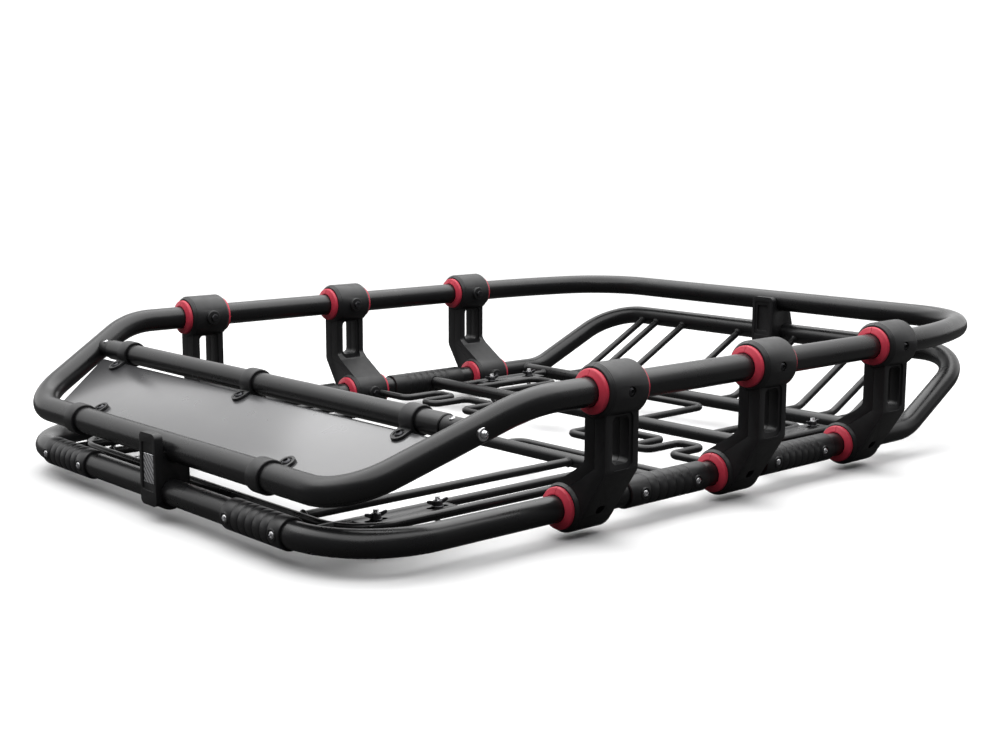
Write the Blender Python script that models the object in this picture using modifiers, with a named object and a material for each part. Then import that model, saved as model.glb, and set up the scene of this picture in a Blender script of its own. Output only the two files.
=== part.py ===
"""Roof cargo basket: tube rims on six clamp brackets, rod deck, front fairing and U-bolt mounts.

Metres, +Z up.  X runs across the vehicle, -Y is the basket's front, Z = 0 is the lowest point.
Sizes are written in millimetres and scaled once, in at().  Heights are counted from the upper
rim's axis, which is where most of the basket's pieces are hung from.
"""
import math

import bmesh
import bpy
from mathutils import Matrix, Vector

MM = 0.001
GAP = 0.3                     # clearance between pieces that touch
RING_SIDES = 16               # sides of rings, bores and bosses
TUBE_SIDES = 12

# --- driving dimensions (mm) -------------------------------------------------
AXIS_HEIGHT = 204.0           # upper rim axis above the lowest point
LENGTH_SHIFT = 10.5           # moves the basket's middle onto Y = 0

RIM_R = 19.0                  # upper rim tube, 38 mm
RIM_X = 498.8                 # its side rails
FRONT_BEND_Y = -457.7         # where the rails start to drop towards the front
FRONT_BAR_Y = -675.4
FRONT_BAR_Z = -104.4
FRONT_TOE_IN = 88.5           # how far each rail comes inwards on the slope
REAR_BEND_Y = 449.4
REAR_BAR_Y = 653.3
REAR_BAR_Z = 1.8
REAR_TOE_IN = 67.0

DECK_Z = -161.9               # axis height of the lower rim and of the deck rods
LOW_R = 18.0                  # lower rim tube, 36 mm
LOW_X = 441.6
LOW_FRONT_Y = -684.0
LOW_FRONT_CORNER_R = 122.0
LOW_REAR_BEND_Y = 456.2
LOW_REAR_Y = 666.3
LOW_REAR_Z = -60.2
LOW_REAR_TOE_IN = 15.7

BAR_SPLIT_X = 248.0           # tube joints, each inside a sleeve
FRONT_SPLIT_Y = -160.0
REAR_SPLIT_Y = 178.0
SLEEVE_R = 21.4
SLEEVE_FRONT = (187.0, 319.4)
SLEEVE_A = (-233.0, -71.0)
SLEEVE_B = (60.0, 230.0)
FRONT_SCREW_INSET = 13.0      # screws' distance from each sleeve's ends
SIDE_SCREW_INSET = 26.0

BRACKET_YS = {"front": -315.0, "middle": -5.0, "rear": 302.0}
HOUSING_HALF = 35.5           # half length of both clamp rings
LEG_HALF = 30.5
UPPER_RING_R = 36.0
LOWER_RING_R = 34.0
LEG_OUT_X = 518.0
LEG_IN_X = 481.0
LEG_OUTLINE = [(LEG_IN_X, -8.0), (LEG_OUT_X, -8.0), (LEG_OUT_X, -99.0), (LEG_OUT_X - 5.0, -111.0),
               (472.0, -175.0), (LOW_X, -165.0), (423.5, -134.3), (471.0, -103.0), (LEG_IN_X, -92.0)]
SPLIT_Z = (-101.0, -141.0)    # the split between a bracket's halves crosses from X to X here
WINDOW_HALF = 16.0            # window through each leg
WINDOW_Z = (-97.0, -33.0)
WINDOW_CORNER = 8.0
HOUSING_CHAMFER = 3.0
BOSS_R = 12.0                 # round boss under each through-bolt's inner head
BOSS_OUT = 5.0
BOLT_HEAD_OUT = 9.0
BOLT_TAIL_OUT = 0.8
BUSH_WALL = 8.0
FLANGE_WALL = 10.5
FLANGE_OUT = 5.5              # a bushing's flange, then its tapered lip
LIP_OUT = 3.0
LIP_WALL = 3.5

ROD_R = 6.35
THIN_ROD_R = 6.0
CROSS_R = 11.0
REAR_CROSS_R = 12.0
CROSS_FRONT_Y = -138.0        # cross tubes of the deck
SHORT_CROSS_Y = -98.0
SHORT_CROSS_END_X = 95.0
LOOP_XS = (262.0, 324.0)      # long narrow loop beside each rear plate
LOOP_END_Y = 332.0
ROD_BEND_R = 20.0
CUT_HALF = 430.0              # half length of the cuts that clear a neighbour's cross tube
CROSS_MID_Y = 157.0
CROSS_REAR_Y = 408.0
FRONT_ROD_Y = -630.0
FRONT_ROD_XS = (255.0, 323.0)
OUTER_ROD_END_Y = -672.0      # inside the lower rim's front corner
PERIMETER_ROD_X = 364.0
PERIMETER_CORNER_R = 65.0
RISER_XS = (68.0, 213.0, 285.0, 325.0)
RISER_BEND_Y = 473.0
RISER_BEND_R = 60.0
SERPENTINE_XS = (322.0, 275.0, 240.0, 164.0, 104.0)
SERPENTINE_YS = (4.0, 80.0)
SERPENTINE_END_X = 396.0      # its ends meet the middle brackets' bolt bosses
SERPENTINE_TAIL = (96.0, 352.0)
SERPENTINE_BEND_R = 14.0
SERPENTINE_TAIL_R = 22.0

MOUNT_X = 343.5               # U-bolt plates, between two lengthwise rods
MOUNT_YS = {"front": -525.0, "rear": 285.0}
LEG_SPACING = 100.0           # between the two legs of a U-bolt
PLATE_HALF = 75.0
PLATE_HALF_WIDTH = 20.0
PLATE_TOP = -158.0
PLATE_THICK = 4.0
BOLT_R = 4.0                  # M8
SLOT_TRAVEL = 12.0            # a U-bolt's way along its slots, each side of the middle
BOLT_TOP = -144.0
BOLT_BEND_R = 14.0
WING_OUTLINE = [(5.0, 3.0), (12.0, 4.2), (17.5, 7.2), (17.0, 10.6), (12.0, 9.8), (5.0, 7.6)]
WING_HALF_THICK = 1.3

FAIR_TUBE_R = 15.9
FAIR_Y = -526.0
FAIR_TUBE_HALF = 424.0
FAIR_END_X = 474.0            # how far its end fittings reach, into the rails
FAIR_END_R = 14.0
FAIR_SCREW_X = 440.0
FAIR_CLAMP_XS = {"left": -365.0, "centre": 0.0, "right": 365.0}
FAIR_PLATE_LIFT = -6.0        # plate's middle above the plane of the sloping rails
FAIR_PLATE_THICK = 3.0
FAIR_PLATE_HALF = [(429.0, 21.5), (361.0, 142.0)]     # half outline: X and way down the slope
CLAMP_HALF = 13.0             # half width of the plate's pipe clamps
CLAMP_WALL = 3.6
TAB_THICK = 4.0
TOP_TAB_REACH = 32.0          # screw's distance from the tube's axis on each clamp's tab
BOTTOM_TAB_REACH = 34.0
BLOCK_X = 13.0                # middle of the front and the rear block
FRONT_BLOCK_HALF = 21.0
REAR_BLOCK_HALF = 24.0
BLOCK_CORNER = 8.0
BLOCK_BEVEL = 1.5
REFLECTOR_HALF = 13.0
REFLECTOR_Z = (-149.5, -108.5)
REFLECTOR_THICK = 3.0

BLACK = (0.016, 0.016, 0.018)
PLASTIC = (0.024, 0.024, 0.026)
RED = (0.52, 0.022, 0.045)
STEEL = (0.62, 0.62, 0.63)
FINISHES = {
    "powder_coat": (BLACK, 0.38, 0.0),
    "bracket_plastic": (PLASTIC, 0.55, 0.0),
    "red_bushing": (RED, 0.4, 0.0),
    "fairing_black": ((0.03, 0.03, 0.034), 0.18, 0.0),
    "reflector": ((0.75, 0.76, 0.78), 0.12, 0.9),
    "zinc_steel": (STEEL, 0.3, 1.0),
}


# --- helpers -----------------------------------------------------------------
def at(x, y, z):
    """A point in metres from its millimetres, heights counted from the upper rim's axis."""
    return Vector((x, y + LENGTH_SHIFT, z + AXIS_HEIGHT)) * MM


def round_bore(radius, gap=GAP, sides=RING_SIDES):
    """Corner radius of a faceted bore whose flats stand a gap clear of a round bar."""
    return (radius + gap) / math.cos(math.pi / sides)


def clear_scene():
    for obj in list(bpy.data.objects):
        bpy.data.objects.remove(obj, do_unlink=True)


def make_collection(name):
    col = bpy.data.collections.new(name)
    bpy.context.scene.collection.children.link(col)
    return col


def make_material(name):
    colour, roughness, metallic = FINISHES[name]
    mat = bpy.data.materials.new(name)
    mat.use_nodes = True
    shader = mat.node_tree.nodes["Principled BSDF"]
    shader.inputs["Base Color"].default_value = (*colour, 1.0)
    shader.inputs["Roughness"].default_value = roughness
    shader.inputs["Metallic"].default_value = metallic
    mat.diffuse_color = (*colour, 1.0)
    return mat


clear_scene()
PARTS = make_collection("roof_cargo_basket")
CUTTERS = make_collection("cutters")
MATERIALS = {name: make_material(name) for name in FINISHES}


def mesh_object(mesh, name, col=None):
    obj = bpy.data.objects.new(name, mesh)
    (col or CUTTERS).objects.link(obj)
    return obj


def baked(obj):
    """The object's evaluated mesh as a new plain object; the original is removed."""
    bpy.context.view_layer.update()
    graph = bpy.context.evaluated_depsgraph_get()
    mesh = bpy.data.meshes.new_from_object(obj.evaluated_get(graph))
    shape = bmesh.new()
    shape.from_mesh(mesh)
    bmesh.ops.transform(shape, matrix=obj.matrix_world, verts=shape.verts)
    bmesh.ops.remove_doubles(shape, verts=shape.verts, dist=1e-6)
    bmesh.ops.recalc_face_normals(shape, faces=shape.faces)
    shape.to_mesh(mesh)
    shape.free()
    name = obj.name
    bpy.data.objects.remove(obj, do_unlink=True)
    return mesh_object(mesh, name)


def filleted(points, radii, steps=5):
    """Corner points with each inner corner turned into an arc of its radius."""
    path = [points[0]]
    for before, corner, after, radius in zip(points, points[1:], points[2:], radii):
        if radius <= 0:
            path.append(corner)
            continue
        back = (before - corner).normalized()
        ahead = (after - corner).normalized()
        half = back.angle(ahead) / 2
        tangent = radius * MM / math.tan(half)
        centre = corner + (back + ahead).normalized() * (radius * MM / math.sin(half))
        first = corner + back * tangent - centre
        last = corner + ahead * tangent - centre
        sweep = math.pi - 2 * half
        for k in range(steps + 1):
            turned_by = sweep * k / steps
            share = first * math.sin(sweep - turned_by) + last * math.sin(turned_by)
            path.append(centre + share / math.sin(sweep))
    return path + [points[-1]]


def mirrored_path(half):
    """A path from one side to the other: the half path, then its mirror image in X."""
    return half + [Vector((-p.x, p.y, p.z)) for p in reversed(half)]


def tube(name, path, radius, sides=TUBE_SIDES):
    """A round bar along a path, as a closed mesh."""
    curve = bpy.data.curves.new(name, "CURVE")
    curve.dimensions = "3D"
    curve.bevel_depth = radius * MM
    curve.bevel_resolution = sides // 4 - 1
    curve.use_fill_caps = True
    spline = curve.splines.new("POLY")
    spline.points.add(len(path) - 1)
    for point, place in zip(spline.points, path):
        point.co = (*place, 1.0)
    obj = bpy.data.objects.new(name, curve)
    CUTTERS.objects.link(obj)
    return baked(obj)


def prism(name, outline, low, high, axis, bevel=0.0, bevel_steps=1):
    """A flat outline pushed from low to high along an axis; outline is in the other two axes."""
    curve = bpy.data.curves.new(name, "CURVE")
    curve.dimensions = "2D"
    curve.fill_mode = "BOTH"
    curve.extrude = (high - low) / 2 * MM
    spline = curve.splines.new("POLY")
    spline.points.add(len(outline) - 1)
    for point, (u, v) in zip(spline.points, outline):
        point.co = (u * MM, v * MM, 0.0, 1.0)
    spline.use_cyclic_u = True
    obj = bpy.data.objects.new(name, curve)
    CUTTERS.objects.link(obj)
    middle = (low + high) / 2
    if axis == "X":
        turn = Matrix(((0, 0, 1), (1, 0, 0), (0, 1, 0)))
        origin = at(middle, 0, 0)
    elif axis == "Y":
        turn = Matrix(((1, 0, 0), (0, 0, -1), (0, 1, 0)))
        origin = at(0, middle, 0)
    else:
        turn = Matrix.Identity(3)
        origin = at(0, 0, middle)
    obj.matrix_world = Matrix.Translation(origin) @ turn.to_4x4()
    solid = baked(obj)
    if bevel:
        soften(solid, bevel, bevel_steps)
        solid = baked(solid)
    return solid


def chamfered(low, high, corner):
    """A rectangle's outline with its corners cut off."""
    (u0, v0), (u1, v1) = low, high
    return [(u0 + corner, v0), (u1 - corner, v0), (u1, v0 + corner), (u1, v1 - corner),
            (u1 - corner, v1), (u0 + corner, v1), (u0, v1 - corner), (u0, v0 + corner)]


def soften(obj, width, steps=1, limit_deg=30):
    mod = obj.modifiers.new("soften", "BEVEL")
    mod.width = width * MM
    mod.segments = steps
    mod.limit_method = "ANGLE"
    mod.angle_limit = math.radians(limit_deg)


def cylinder(name, start, end, radius, sides=RING_SIDES, end_radius=None):
    """A straight round bar between two points given in metres."""
    shape = bmesh.new()
    span = end - start
    bmesh.ops.create_cone(shape, cap_ends=True, segments=sides, radius1=radius * MM,
                          radius2=(radius if end_radius is None else end_radius) * MM,
                          depth=span.length)
    turn = Vector((0, 0, 1)).rotation_difference(span).to_matrix().to_4x4()
    bmesh.ops.transform(shape, matrix=Matrix.Translation((start + end) / 2) @ turn, verts=shape.verts)
    mesh = bpy.data.meshes.new(name)
    shape.to_mesh(mesh)
    shape.free()
    return mesh_object(mesh, name)


def turned(name, profile, axis_start, direction, sides=RING_SIDES):
    """A ring or knob: (radius, distance along the axis) points spun round the axis."""
    mesh = bpy.data.meshes.new(name)
    shape = bmesh.new()
    verts = [shape.verts.new((r * MM, 0.0, d * MM)) for r, d in profile]
    for first, second in zip(verts, verts[1:] + verts[:1]):
        shape.edges.new((first, second))
    shape.to_mesh(mesh)
    shape.free()
    obj = mesh_object(mesh, name)
    spin = obj.modifiers.new("spin", "SCREW")
    spin.angle = math.tau
    spin.steps = sides
    spin.render_steps = sides
    spin.use_merge_vertices = True
    spin.merge_threshold = 0.00001
    turn = Vector((0, 0, 1)).rotation_difference(Vector(direction)).to_matrix().to_4x4()
    obj.matrix_world = Matrix.Translation(axis_start) @ turn
    return baked(obj)


def boolean(base, others, operation):
    """The base joined with, cut by or limited to the other objects, which are used up."""
    for other in others:
        mod = base.modifiers.new("join", "BOOLEAN")
        mod.operation = operation
        mod.solver = "EXACT"
        mod.object = other
        base = baked(base)
        bpy.data.objects.remove(other, do_unlink=True)
    return base


def joined(base, *others):
    return boolean(base, others, "UNION")


def cut(base, *others):
    return boolean(base, others, "DIFFERENCE")


def finish(name, obj, material, origin=None):
    """Hands an object over as a named sub-part; origin moves its own origin there."""
    obj.name = name
    obj.data.name = name
    CUTTERS.objects.unlink(obj)
    PARTS.objects.link(obj)
    obj.data.materials.clear()
    obj.data.materials.append(MATERIALS[material])
    if origin is not None:
        obj.data.transform(Matrix.Translation(-origin))
        obj.location = origin
    return obj


def mirror_copy(obj, name):
    """A loose mirror image of an object in the YZ plane."""
    mesh = obj.data.copy()
    shape = bmesh.new()
    shape.from_mesh(mesh)
    bmesh.ops.scale(shape, vec=(-1, 1, 1), verts=shape.verts)
    bmesh.ops.reverse_faces(shape, faces=shape.faces)
    shape.to_mesh(mesh)
    shape.free()
    return mesh_object(mesh, name)


def both_sides(stem, obj, material):
    """The right-hand piece and its mirror image on the left."""
    left = mirror_copy(obj, stem)
    finish(f"{stem}_right", obj, material)
    finish(f"{stem}_left", left, material)


# --- paths that several pieces share -------------------------------------------
SLOPE = Vector((0.0, FRONT_BAR_Y - FRONT_BEND_Y, FRONT_BAR_Z)).normalized()
SLOPE_NORMAL = Vector((0.0, SLOPE.z, -SLOPE.y))
FAIR_Z = (FAIR_Y - FRONT_BEND_Y) * FRONT_BAR_Z / (FRONT_BAR_Y - FRONT_BEND_Y)


def on_slope(x, along, above=0.0):
    """A point on the plane of the front slope, measured down it from the fairing tube."""
    return at(x, FAIR_Y, FAIR_Z) + (SLOPE * along + SLOPE_NORMAL * above) * MM


def front_rim_path(end_y):
    half = [at(-RIM_X, end_y, 0), at(-RIM_X, FRONT_BEND_Y, 0),
            at(FRONT_TOE_IN - RIM_X, FRONT_BAR_Y, FRONT_BAR_Z)]
    return filleted(mirrored_path(half), (143.0, 95.0, 95.0, 143.0))


def rear_rim_path(end_y):
    half = [at(-RIM_X, end_y, 0), at(-RIM_X, REAR_BEND_Y, 0),
            at(REAR_TOE_IN - RIM_X, REAR_BAR_Y, REAR_BAR_Z)]
    return filleted(mirrored_path(half), (690.0, 142.0, 142.0, 690.0))


def low_corner_path(side):
    return filleted([at(side * (BAR_SPLIT_X + GAP), LOW_FRONT_Y, DECK_Z),
                     at(side * LOW_X, LOW_FRONT_Y, DECK_Z),
                     at(side * LOW_X, FRONT_SPLIT_Y - GAP, DECK_Z)], (LOW_FRONT_CORNER_R,), 7)


def low_rear_path():
    half = [at(-LOW_X, REAR_SPLIT_Y + GAP, DECK_Z), at(-LOW_X, LOW_REAR_BEND_Y, DECK_Z),
            at(LOW_REAR_TOE_IN - LOW_X, LOW_REAR_Y, LOW_REAR_Z)]
    return filleted(mirrored_path(half), (111.0, 91.0, 91.0, 111.0))


# --- tube frames ---------------------------------------------------------------
def build_rims():
    front = tube("rim", front_rim_path(-GAP / 2), RIM_R)
    for side in (-1, 1):
        toe_in = FRONT_TOE_IN * (FAIR_Y - FRONT_BEND_Y) / (FRONT_BAR_Y - FRONT_BEND_Y)
        out = Vector((side, 0, 0)) * MM
        seat = at(side * (RIM_X - toe_in), FAIR_Y, FAIR_Z)
        washer = cylinder("washer", seat + out * 14, seat + out * 21.5, 9.0, 16)
        head = cylinder("head", seat + out * 16, seat + out * 26, 5.5, 6)
        front = joined(front, washer, head)
    finish("upper_rim_front", front, "powder_coat")
    finish("upper_rim_rear", tube("rim", rear_rim_path(GAP / 2), RIM_R), "powder_coat")


def build_front_bar():
    ends = [at(x, LOW_FRONT_Y, DECK_Z) for x in (-BAR_SPLIT_X, BAR_SPLIT_X)]
    finish("lower_front_bar", tube("bar", ends, LOW_R), "powder_coat")


def slot_cutter(x, y):
    reach = SLOT_TRAVEL + BOLT_R + 1.0
    half = BOLT_R + 0.6
    outline = [(x + sx * half, y + sy * reach) for sx, sy in ((-1, -1), (1, -1), (1, 1), (-1, 1))]
    return prism("slot", outline, PLATE_TOP - PLATE_THICK - 2, PLATE_TOP + 2, "Z")


def mount_plate(side, middle_y):
    """A slotted plate between two rods, for one U-bolt."""
    corners = ((-1, -1), (1, -1), (1, 1), (-1, 1))
    outline = [(side * MOUNT_X + sx * PLATE_HALF_WIDTH, middle_y + sy * PLATE_HALF) for sx, sy in corners]
    plate = prism("plate", outline, PLATE_TOP - PLATE_THICK, PLATE_TOP, "Z")
    slots = [slot_cutter(side * MOUNT_X, middle_y + k * LEG_SPACING / 2) for k in (-1, 1)]
    return cut(plate, *slots)


def deck_rod(x, start_y, end_y):
    return tube("rod", [at(x, start_y, DECK_Z), at(x, end_y, DECK_Z)], ROD_R)


def bent_rod(side, turns):
    """A thin deck rod through (x, y) turns on one side, with rounded corners."""
    path = [at(side * x, y, DECK_Z) for x, y in turns]
    return tube("rod", filleted(path, [ROD_BEND_R] * (len(turns) - 2)), THIN_ROD_R)


def cross_tube(y, radius, half):
    return tube("cross", [at(-half, y, DECK_Z), at(half, y, DECK_Z)], radius)


def build_front_frame():
    half = [at(-PERIMETER_ROD_X, CROSS_FRONT_Y, DECK_Z), at(-PERIMETER_ROD_X, FRONT_ROD_Y, DECK_Z)]
    perimeter = filleted(mirrored_path(half), (PERIMETER_CORNER_R, PERIMETER_CORNER_R))
    frame = tube("frame", perimeter, ROD_R)
    for side in (-1, 1):
        inner, outer = (side * x for x in FRONT_ROD_XS)
        rods = [deck_rod(inner, CROSS_FRONT_Y, FRONT_ROD_Y), deck_rod(outer, CROSS_FRONT_Y, OUTER_ROD_END_Y)]
        corner = tube("corner", low_corner_path(side), LOW_R)
        frame = joined(frame, *rods, mount_plate(side, MOUNT_YS["front"]), corner)
    finish("front_frame", cut(frame, cross_tube(CROSS_FRONT_Y, CROSS_R + GAP, CUT_HALF)), "powder_coat")


def serpentine_path(side):
    """Half of the long bent rod: from the bracket in loops to the middle, then to the rear."""
    low, high = SERPENTINE_YS
    first, second, third, fourth, fifth = (side * x for x in SERPENTINE_XS)
    tail_x, tail_y = SERPENTINE_TAIL
    turns = [(side * SERPENTINE_END_X, low), (first, low), (first, high), (second, high), (second, low),
             (third, low), (third, high), (fourth, high), (fourth, low), (fifth, low),
             (side * tail_x, tail_y)]
    return [at(x, y, DECK_Z) for x, y in turns]


def build_mid_frame():
    half = serpentine_path(-1)
    bends = [SERPENTINE_BEND_R] * (len(half) - 2) + [SERPENTINE_TAIL_R]
    snake = filleted(mirrored_path(half), bends + bends[::-1], 4)
    frame = tube("snake", snake, THIN_ROD_R)
    cross_tubes = [cross_tube(CROSS_MID_Y, CROSS_R, LOW_X), cross_tube(CROSS_FRONT_Y, CROSS_R - 1, LOW_X)]
    frame = joined(frame, *cross_tubes)
    for side in (-1, 1):
        rail = tube("rail", [at(side * LOW_X, y, DECK_Z) for y in (FRONT_SPLIT_Y, REAR_SPLIT_Y)], LOW_R)
        end_x = SHORT_CROSS_END_X
        short = bent_rod(side, ((LOW_X, SHORT_CROSS_Y), (end_x, SHORT_CROSS_Y), (end_x, CROSS_FRONT_Y)))
        near_x, far_x = LOOP_XS
        loop_turns = ((near_x, CROSS_MID_Y), (near_x, LOOP_END_Y), (far_x, LOOP_END_Y), (far_x, CROSS_MID_Y))
        loop = bent_rod(side, loop_turns)
        rod = deck_rod(side * PERIMETER_ROD_X, CROSS_MID_Y, CROSS_REAR_Y)
        frame = joined(frame, rail, short, loop, rod, mount_plate(side, MOUNT_YS["rear"]))
    finish("middle_frame", cut(frame, cross_tube(CROSS_REAR_Y, REAR_CROSS_R + GAP, CUT_HALF)), "powder_coat")


def build_rear_frame():
    frame = tube("rim", low_rear_path(), LOW_R)
    risers = []
    for x in RISER_XS + tuple(-x for x in RISER_XS):
        turns = [at(x, CROSS_REAR_Y, DECK_Z), at(x, RISER_BEND_Y, DECK_Z), at(x, LOW_REAR_Y, LOW_REAR_Z)]
        risers.append(tube("riser", filleted(turns, (RISER_BEND_R,)), ROD_R))
    finish("rear_frame", joined(frame, cross_tube(CROSS_REAR_Y, REAR_CROSS_R, LOW_X), *risers), "powder_coat")


# --- sleeves over the tube joints -------------------------------------------------
def sleeve(start, end, screw_side, inset):
    """A plastic sleeve; screw_side is the way its two screws face, inset how far from its ends."""
    span = end - start
    length = span.length / MM
    bore = round_bore(LOW_R)
    profile = [(bore, 0), (SLEEVE_R, 0), (SLEEVE_R, length), (bore, length)]
    body = turned("sleeve", profile, start, span)
    heads = []
    for distance in (inset, length - inset):
        foot = start + span.normalized() * distance * MM
        low, high = (foot + screw_side * (SLEEVE_R + step) * MM for step in (-1.5, 2.4))
        heads.append(cylinder("head", low, high, 5.2, 8))
    return joined(body, *heads)


def build_sleeves():
    ends = [at(x, LOW_FRONT_Y, DECK_Z) for x in SLEEVE_FRONT]
    front = sleeve(*ends, Vector((0, -1, 0)), FRONT_SCREW_INSET)
    notch_ends = [at(FRONT_ROD_XS[1], LOW_FRONT_Y + step, DECK_Z) for step in (0, 40)]
    notch = cylinder("notch", *notch_ends, ROD_R + 1, 12)
    both_sides("sleeve_front_bar", cut(front, notch), "bracket_plastic")
    passes = {"side_front": (SLEEVE_A, ((CROSS_FRONT_Y, CROSS_R), (SHORT_CROSS_Y, THIN_ROD_R + 1))),
              "side_rear": (SLEEVE_B, ((CROSS_MID_Y, CROSS_R + 1),))}
    for name, ((start, end), crossings) in passes.items():
        body = sleeve(at(LOW_X, start, DECK_Z), at(LOW_X, end, DECK_Z), Vector((1, 0, 0)), SIDE_SCREW_INSET)
        for y, radius in crossings:
            body = cut(body, cylinder("pass", at(LOW_X - 40, y, DECK_Z), at(LOW_X, y, DECK_Z), radius, 12))
        both_sides(f"sleeve_{name}", body, "bracket_plastic")


# --- clamp brackets -----------------------------------------------------------------
def bracket_solid(y):
    """One whole right-hand bracket, before it is split into its two halves."""
    ends = (y - HOUSING_HALF, y + HOUSING_HALF)

    def ring(x, z, radius, bore):
        length = 2 * HOUSING_HALF
        edge = radius - HOUSING_CHAMFER
        profile = [(bore, 0), (edge, 0), (radius, HOUSING_CHAMFER), (radius, length - HOUSING_CHAMFER),
                   (edge, length), (bore, length)]
        return turned("ring", profile, at(x, ends[0], z), (0, 1, 0))

    def bore_cutter(x, z, radius):
        return cylinder("bore", at(x, ends[0] - 20, z), at(x, ends[1] + 20, z), radius)

    leg = prism("leg", LEG_OUTLINE, y - LEG_HALF, y + LEG_HALF, "Y")
    opening = chamfered((y - WINDOW_HALF, WINDOW_Z[0]), (y + WINDOW_HALF, WINDOW_Z[1]), WINDOW_CORNER)
    window = prism("window", opening, LEG_IN_X - 20, LEG_OUT_X + 20, "X")
    solid = cut(leg, window)
    upper_bore = round_bore(RIM_R + BUSH_WALL)
    lower_bore = round_bore(LOW_R + BUSH_WALL)
    upper_ring = ring(RIM_X, 0, UPPER_RING_R, upper_bore - 2)
    lower_ring = ring(LOW_X, DECK_Z, LOWER_RING_R, lower_bore - 2)
    solid = joined(solid, upper_ring, lower_ring)
    for x, z, radius in ((RIM_X, 0, UPPER_RING_R), (LOW_X, DECK_Z, LOWER_RING_R)):
        inner, outer = x - radius, x + radius
        boss = cylinder("boss", at(inner - BOSS_OUT, y, z), at(inner + 5, y, z), BOSS_R, 12)
        head = cylinder("head", at(inner - BOLT_HEAD_OUT, y, z), at(inner, y, z), 6.5, 6)
        tail = cylinder("tail", at(outer - 3, y, z), at(outer + BOLT_TAIL_OUT, y, z), 6.0, 8)
        solid = joined(solid, boss, head, tail)
    return cut(solid, bore_cutter(RIM_X, 0, upper_bore), bore_cutter(LOW_X, DECK_Z, lower_bore))


def inner_region(y, offset):
    """Everything on the inner side of the surface that splits a bracket."""
    outline = [(RIM_X + offset, 70), (RIM_X + offset, SPLIT_Z[0]), (LOW_X + offset, SPLIT_Z[1]),
               (LOW_X + offset, -230), (LOW_X - 90, -230), (LOW_X - 90, 70)]
    return prism("region", outline, y - 55, y + 55, "Y")


def bushing(x, y, z, tube_r):
    """A bushing with a flange and a tapered lip at each end of its clamp ring."""
    bore = round_bore(tube_r)
    body = tube_r + BUSH_WALL
    flange = tube_r + FLANGE_WALL
    half = HOUSING_HALF + GAP + FLANGE_OUT + LIP_OUT
    lip_end = LIP_OUT - half
    flange_end = lip_end + FLANGE_OUT
    end = [(bore, -half), (tube_r + LIP_WALL, -half), (flange, lip_end), (flange, flange_end),
           (body, flange_end)]
    profile = end + [(r, -d) for r, d in reversed(end)]
    return turned("bushing", profile, at(x, y, z), (0, 1, 0))


def build_brackets():
    for place, y in BRACKET_YS.items():
        whole = bracket_solid(y)
        twin = mesh_object(whole.data.copy(), "twin")
        outer = cut(whole, inner_region(y, GAP / 2))
        inner = boolean(twin, (inner_region(y, -GAP / 2),), "INTERSECT")
        both_sides(f"bracket_outer_{place}", outer, "bracket_plastic")
        both_sides(f"bracket_inner_{place}", inner, "bracket_plastic")
        both_sides(f"bushing_upper_{place}", bushing(RIM_X, y, 0, RIM_R), "red_bushing")
        both_sides(f"bushing_lower_{place}", bushing(LOW_X, y, DECK_Z, LOW_R), "red_bushing")


# --- front fairing ---------------------------------------------------------------------
def build_fairing():
    bar = tube("tube", [on_slope(-FAIR_TUBE_HALF, 0), on_slope(FAIR_TUBE_HALF, 0)], FAIR_TUBE_R)
    finish("fairing_tube", bar, "powder_coat")
    for side, word in ((-1, "left"), (1, "right")):
        start, end = (on_slope(side * x, 0) for x in (FAIR_TUBE_HALF + GAP, FAIR_END_X))
        fitting = cylinder("fitting", start, end, FAIR_END_R)
        low, high = (on_slope(side * FAIR_SCREW_X, 0, FAIR_END_R + step) for step in (-2.0, 2.5))
        screw = cylinder("screw", low, high, 4.2, 12)
        rail = tube("rail", front_rim_path(-GAP), RIM_R + GAP)
        finish(f"fairing_end_{word}", cut(joined(fitting, screw), rail), "bracket_plastic")
    finish("fairing_plate", fairing_plate(), "fairing_black")
    for word, x in FAIR_CLAMP_XS.items():
        clamp = fairing_clamp(x, 0.0, 1, FAIR_TUBE_R, TOP_TAB_REACH)
        finish(f"fairing_clamp_top_{word}", clamp, "bracket_plastic")
    bar_along = Vector((0, FRONT_BAR_Y - FAIR_Y, FRONT_BAR_Z - FAIR_Z)).length
    for word, side in (("left", -1), ("right", 1)):
        clamp = fairing_clamp(side * BAR_SPLIT_X, bar_along, -1, RIM_R, BOTTOM_TAB_REACH)
        finish(f"fairing_clamp_bottom_{word}", clamp, "bracket_plastic")


def slope_prism(name, outline, low, high):
    """A flat outline in the slope's own (x, down-slope) axes, from low to high above it."""
    solid = prism(name, outline, low, high, "Z")
    to_slope = Matrix((Vector((1, 0, 0)), SLOPE, SLOPE_NORMAL)).transposed().to_4x4()
    place = Matrix.Translation(on_slope(0, 0)) @ to_slope @ Matrix.Translation(-at(0, 0, 0))
    solid.data.transform(place)
    if place.determinant() < 0:
        solid.data.flip_normals()
    return solid


def fairing_plate():
    outline = FAIR_PLATE_HALF + [(-x, s) for x, s in reversed(FAIR_PLATE_HALF)]
    low = FAIR_PLATE_LIFT - FAIR_PLATE_THICK / 2
    return slope_prism("plate", outline, low, low + FAIR_PLATE_THICK)


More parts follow.
